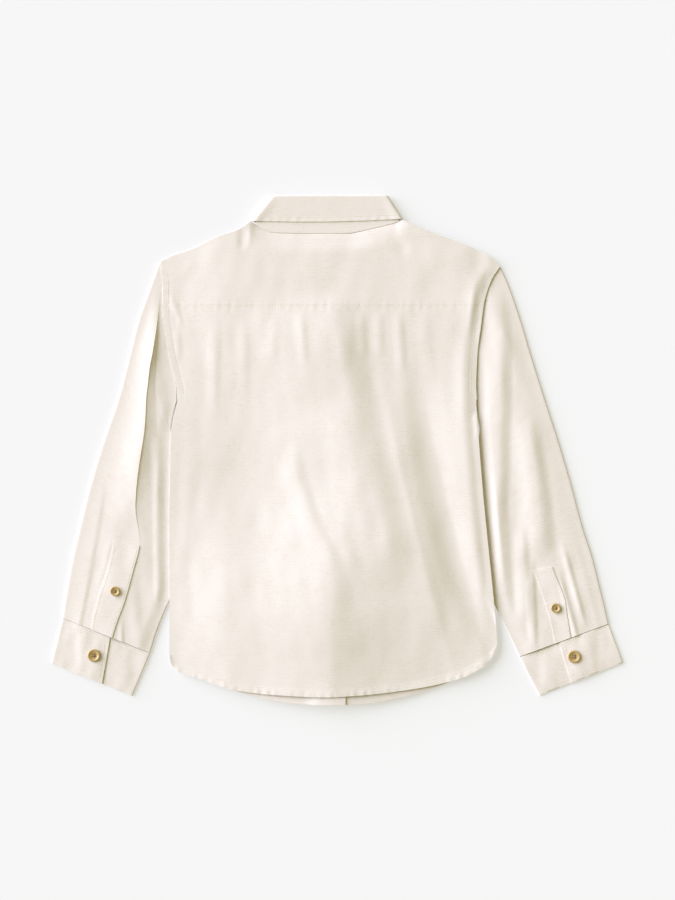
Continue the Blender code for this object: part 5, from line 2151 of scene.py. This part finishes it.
@dataclass
class Studio:
    """The table, the light and the camera."""

    lens_mm: float = 85.0
    sensor_mm: float = 36.0
    frame_height: float = 0.9
    aim: Spot = Spot(1.0, -3.5)
    table_half: float = 16.0
    table_drop: float = 0.0002
    key_strength: float = 5.7
    key_elevation: float = 20.0
    key_azimuth: float = 64.0
    key_angle: float = 60.0
    key_colour: tuple = (0.99, 1.03, 1.32)
    fill_strength: float = 0.43
    fill_colour: tuple = (1.0, 0.945, 0.50)

    def build(self) -> None:
        """Makes the table, the lights and the camera."""
        bpy.context.scene.view_settings.view_transform = "Standard"
        half = self.table_half
        corners = [(-half, -half, 0.0), (half, -half, 0.0), (half, half, 0.0), (-half, half, 0.0)]
        mesh = bpy.data.meshes.new("table")
        mesh.from_pydata(corners, [], [(0, 1, 2, 3)])
        mesh.materials.append(FloorFinish().material("table_white"))
        table = bpy.data.objects.new("table", mesh)
        table.location.z = -self.table_drop
        bpy.context.scene.collection.objects.link(table)
        self.build_light()
        self.build_camera()

    def build_light(self) -> None:
        """Makes the soft key light from the upper left, and the even fill."""
        key = bpy.data.lights.new("key", "SUN")
        key.energy, key.angle = self.key_strength, math.radians(self.key_angle)
        key.color = self.key_colour
        lamp = bpy.data.objects.new("key", key)
        tilt = math.radians(90.0 - self.key_elevation)
        lamp.rotation_euler = (-tilt, 0.0, math.radians(self.key_azimuth))
        bpy.context.scene.collection.objects.link(lamp)
        world = bpy.data.worlds.new("fill")
        world.use_nodes = True
        sky = world.node_tree.nodes["Background"]
        sky.inputs["Color"].default_value = (*self.fill_colour, 1.0)
        sky.inputs["Strength"].default_value = self.fill_strength
        bpy.context.scene.world = world

    def build_camera(self) -> None:
        """Makes the camera, straight above the shirt."""
        data = bpy.data.cameras.new("camera")
        data.lens, data.sensor_width, data.sensor_fit = self.lens_mm, self.sensor_mm, "AUTO"
        camera = bpy.data.objects.new("camera", data)
        distance = self.frame_height * self.lens_mm / self.sensor_mm
        camera.location = (self.aim.x * MM, (self.aim.y - MIDDLE_Y) * MM, distance)
        bpy.context.scene.collection.objects.link(camera)
        bpy.context.scene.camera = camera


@dataclass
class Shirt:
    """The whole shirt, piece by piece."""

    CUFF_ROWS = (0.035, 0.105, 0.895)

    finishes: Finishes = field(default_factory=Finishes)
    cuff_button: float = 12.7
    placket_button: float = 9.6
    button_thick: float = 2.2
    row_end: float = 6.0
    seam_clear: float = 2.0
    shoulder_y: float = 176.0
    collar_row: float = 4.6
    collar_row_end: float = 5.0
    placket_spots: dict = field(
        default_factory=lambda: {
            Side.LEFT: Spot(-220.9, -144.3),
            Side.RIGHT: Spot(218.5, -161.2),
        }
    )

    def build(self) -> None:
        """Makes every piece of the shirt, in order."""
        torso = Torso(self.finishes)
        fronts = [torso.build_front(side) for side in Side]
        back, yoke = torso.build_back(), torso.build_yoke()
        LOG.info("body: %s", ", ".join(o.name for o in [*fronts, back, yoke]))
        collar = Collar(self.finishes, torso)
        leaf, stand = collar.build_leaf(), collar.build_stand()
        LOG.info("collar: %s, %s", leaf.name, stand.name)
        self.front_buttons(torso)
        stitching = Stitching(self.finishes)
        for side in Side:
            self.build_arm(torso, stitching, side)
        bpy.context.view_layer.update()
        self.sew_body(torso, stitching, back, yoke, leaf)

    def front_buttons(self, torso: Torso) -> None:
        """Makes the buttons that lie under the fronts.

        Args:
            torso: The body.
        """
        for i, spot in enumerate(torso.button_spots()):
            turns = np.linspace(0.0, 2.0 * math.pi, 12)
            x = spot.x + 0.5 * torso.button_size * np.cos(turns)
            y = spot.y + 0.5 * torso.button_size * np.sin(turns)
            under = float(torso.front_under(x, y, Side.RIGHT).min())
            base = max(under - torso.button_thick - 2.0 * COTTON.gap, 0.0)
            node = f"front_button_{i + 1}"
            size, thick = torso.button_size, torso.button_thick
            Button(self.finishes, f"{node}_horn", node, spot, base, size, thick, False).build()
        LOG.info("front buttons: %d", torso.button_count)

    def build_arm(self, torso: Torso, stitching: Stitching, side: Side) -> None:
        """Makes a sleeve, its strip, its cuff and their buttons.

        Args:
            torso: The body.
            stitching: What sews them.
            side: Which side.
        """
        sleeve = Sleeve(self.finishes, torso, side)
        tube, strip = sleeve.build(), sleeve.build_strip()
        cuff = Cuff(self.finishes, side)
        band = cuff.build()
        spot = self.placket_spots[side]
        away = np.hypot(sleeve.strip_x - spot.x, sleeve.strip_y - spot.y)
        base = float(sleeve.strip_top[away < 0.6 * self.placket_button].max()) + 0.5
        node = f"placket_button_{side.word}"
        args = (node + "_horn", node, spot, base, self.placket_button, self.button_thick)
        Button(self.finishes, *args).build()
        node = f"cuff_button_{side.word}"
        base = cuff.top_face() + COTTON.gap + 0.15
        args = (node + "_horn", node, cuff.PLANS[side].button, base, self.cuff_button)
        Button(self.finishes, *args, self.button_thick).build()
        bpy.context.view_layer.update()
        self.sew_cuff(stitching, cuff, band)
        self.sew_strip(stitching, sleeve, strip)
        LOG.info("%s arm: %s, %s, %s", side.word, tube.name, strip.name, band.name)

    def sew_cuff(self, stitching: Stitching, cuff: Cuff, band: bpy.types.Object) -> None:
        """Sews round the faces of a cuff.

        Args:
            stitching: What sews it.
            cuff: The cuff.
            band: Its cloth.
        """
        plan = cuff.PLANS[cuff.side]
        rows = []
        for t in self.CUFF_ROWS:
            start, end, lap = plan.at(t)
            rows.append(line_of([mix(start, end, 0.04), mix(start, end, lap - 0.05)]))
            rows.append(line_of([mix(start, end, lap + 0.02), mix(start, end, 0.97)]))
        ends = [(start, end, lap - 0.045) for start, end, lap in (plan.at(0.1), plan.at(0.9))]
        rows.append(line_of([mix(*row) for row in ends]))
        stitching.sew(f"cuff_{cuff.side.word}_stitches", band, rows)

    def sew_strip(self, stitching: Stitching, sleeve: Sleeve, strip: bpy.types.Object) -> None:
        """Sews the edges and the box of a strip over a slit.

        Args:
            stitching: What sews it.
            sleeve: The sleeve.
            strip: The strip's cloth.
        """
        x, y = sleeve.strip_x, sleeve.strip_y
        last = x.shape[1] - 1
        rows = []
        for k in (1, last - 1):
            rows.append(np.stack([x[3:, k], y[3:, k]], axis=1))
        box = min(20, len(x) - 2) if sleeve.side is Side.LEFT else min(22, len(x) - 2)
        for i in (2, box):
            rows.append(np.stack([x[i, 1:last], y[i, 1:last]], axis=1))
        stitching.sew(f"placket_{sleeve.side.word}_stitches", strip, rows)

    def sew_body(
        self,
        torso: Torso,
        stitching: Stitching,
        back: bpy.types.Object,
        yoke: bpy.types.Object,
        leaf: bpy.types.Object,
    ) -> None:
        """Sews the hem, the yoke seam, the armholes and the collar's edge.

        Args:
            torso: The body.
            stitching: What sews it.
            back: The back panel.
            yoke: The yoke.
            leaf: The collar's leaf.
        """
        seam, end = torso.yoke_seam_y, self.row_end
        x = np.linspace(HEM[0].x + end, HEM[-1].x - end, 160)
        hem = np.stack([x, y_on(HEM, x) + torso.hem_turn], axis=1)
        armholes = torso.armhole_lines(torso.underarm_y + end, seam - self.seam_clear, 60)
        stitching.sew("back_stitches", back, [hem, *armholes])
        y = seam + torso.yoke_row
        left, right = float(torso.left_edge(y)), float(torso.right_edge(y))
        rows = [line_of((Spot(left + self.seam_clear, y), Spot(right - self.seam_clear, y)))]
        rows += torso.armhole_lines(seam + 3.0, self.shoulder_y, 30)
        x = np.linspace(NECK_LEFT.x + end, NECK_RIGHT.x - end, 70)
        rows.append(np.stack([x, y_on(BACK_NECK, x) - self.seam_clear], axis=1))
        stitching.sew("yoke_stitches", yoke, rows)
        left, right = Collar.EDGE_LEFT, Collar.EDGE_RIGHT
        x = np.linspace(left.x + self.collar_row_end, right.x - self.collar_row_end, 70)
        share = (x - left.x) / (right.x - left.x)
        y = left.y + (right.y - left.y) * share
        y = y - Collar.edge_sag * np.sin(math.pi * share) + self.collar_row
        stitching.sew("collar_stitches", leaf, [np.stack([x, y], axis=1)])
        LOG.info("stitching: hem, armholes, yoke, neck and collar")


def main() -> None:
    """Builds the shirt and the studio."""
    logging.basicConfig(level=logging.INFO, format="%(message)s")
    Studio().build()
    Shirt().build()


if __name__ == "__main__":
    main()
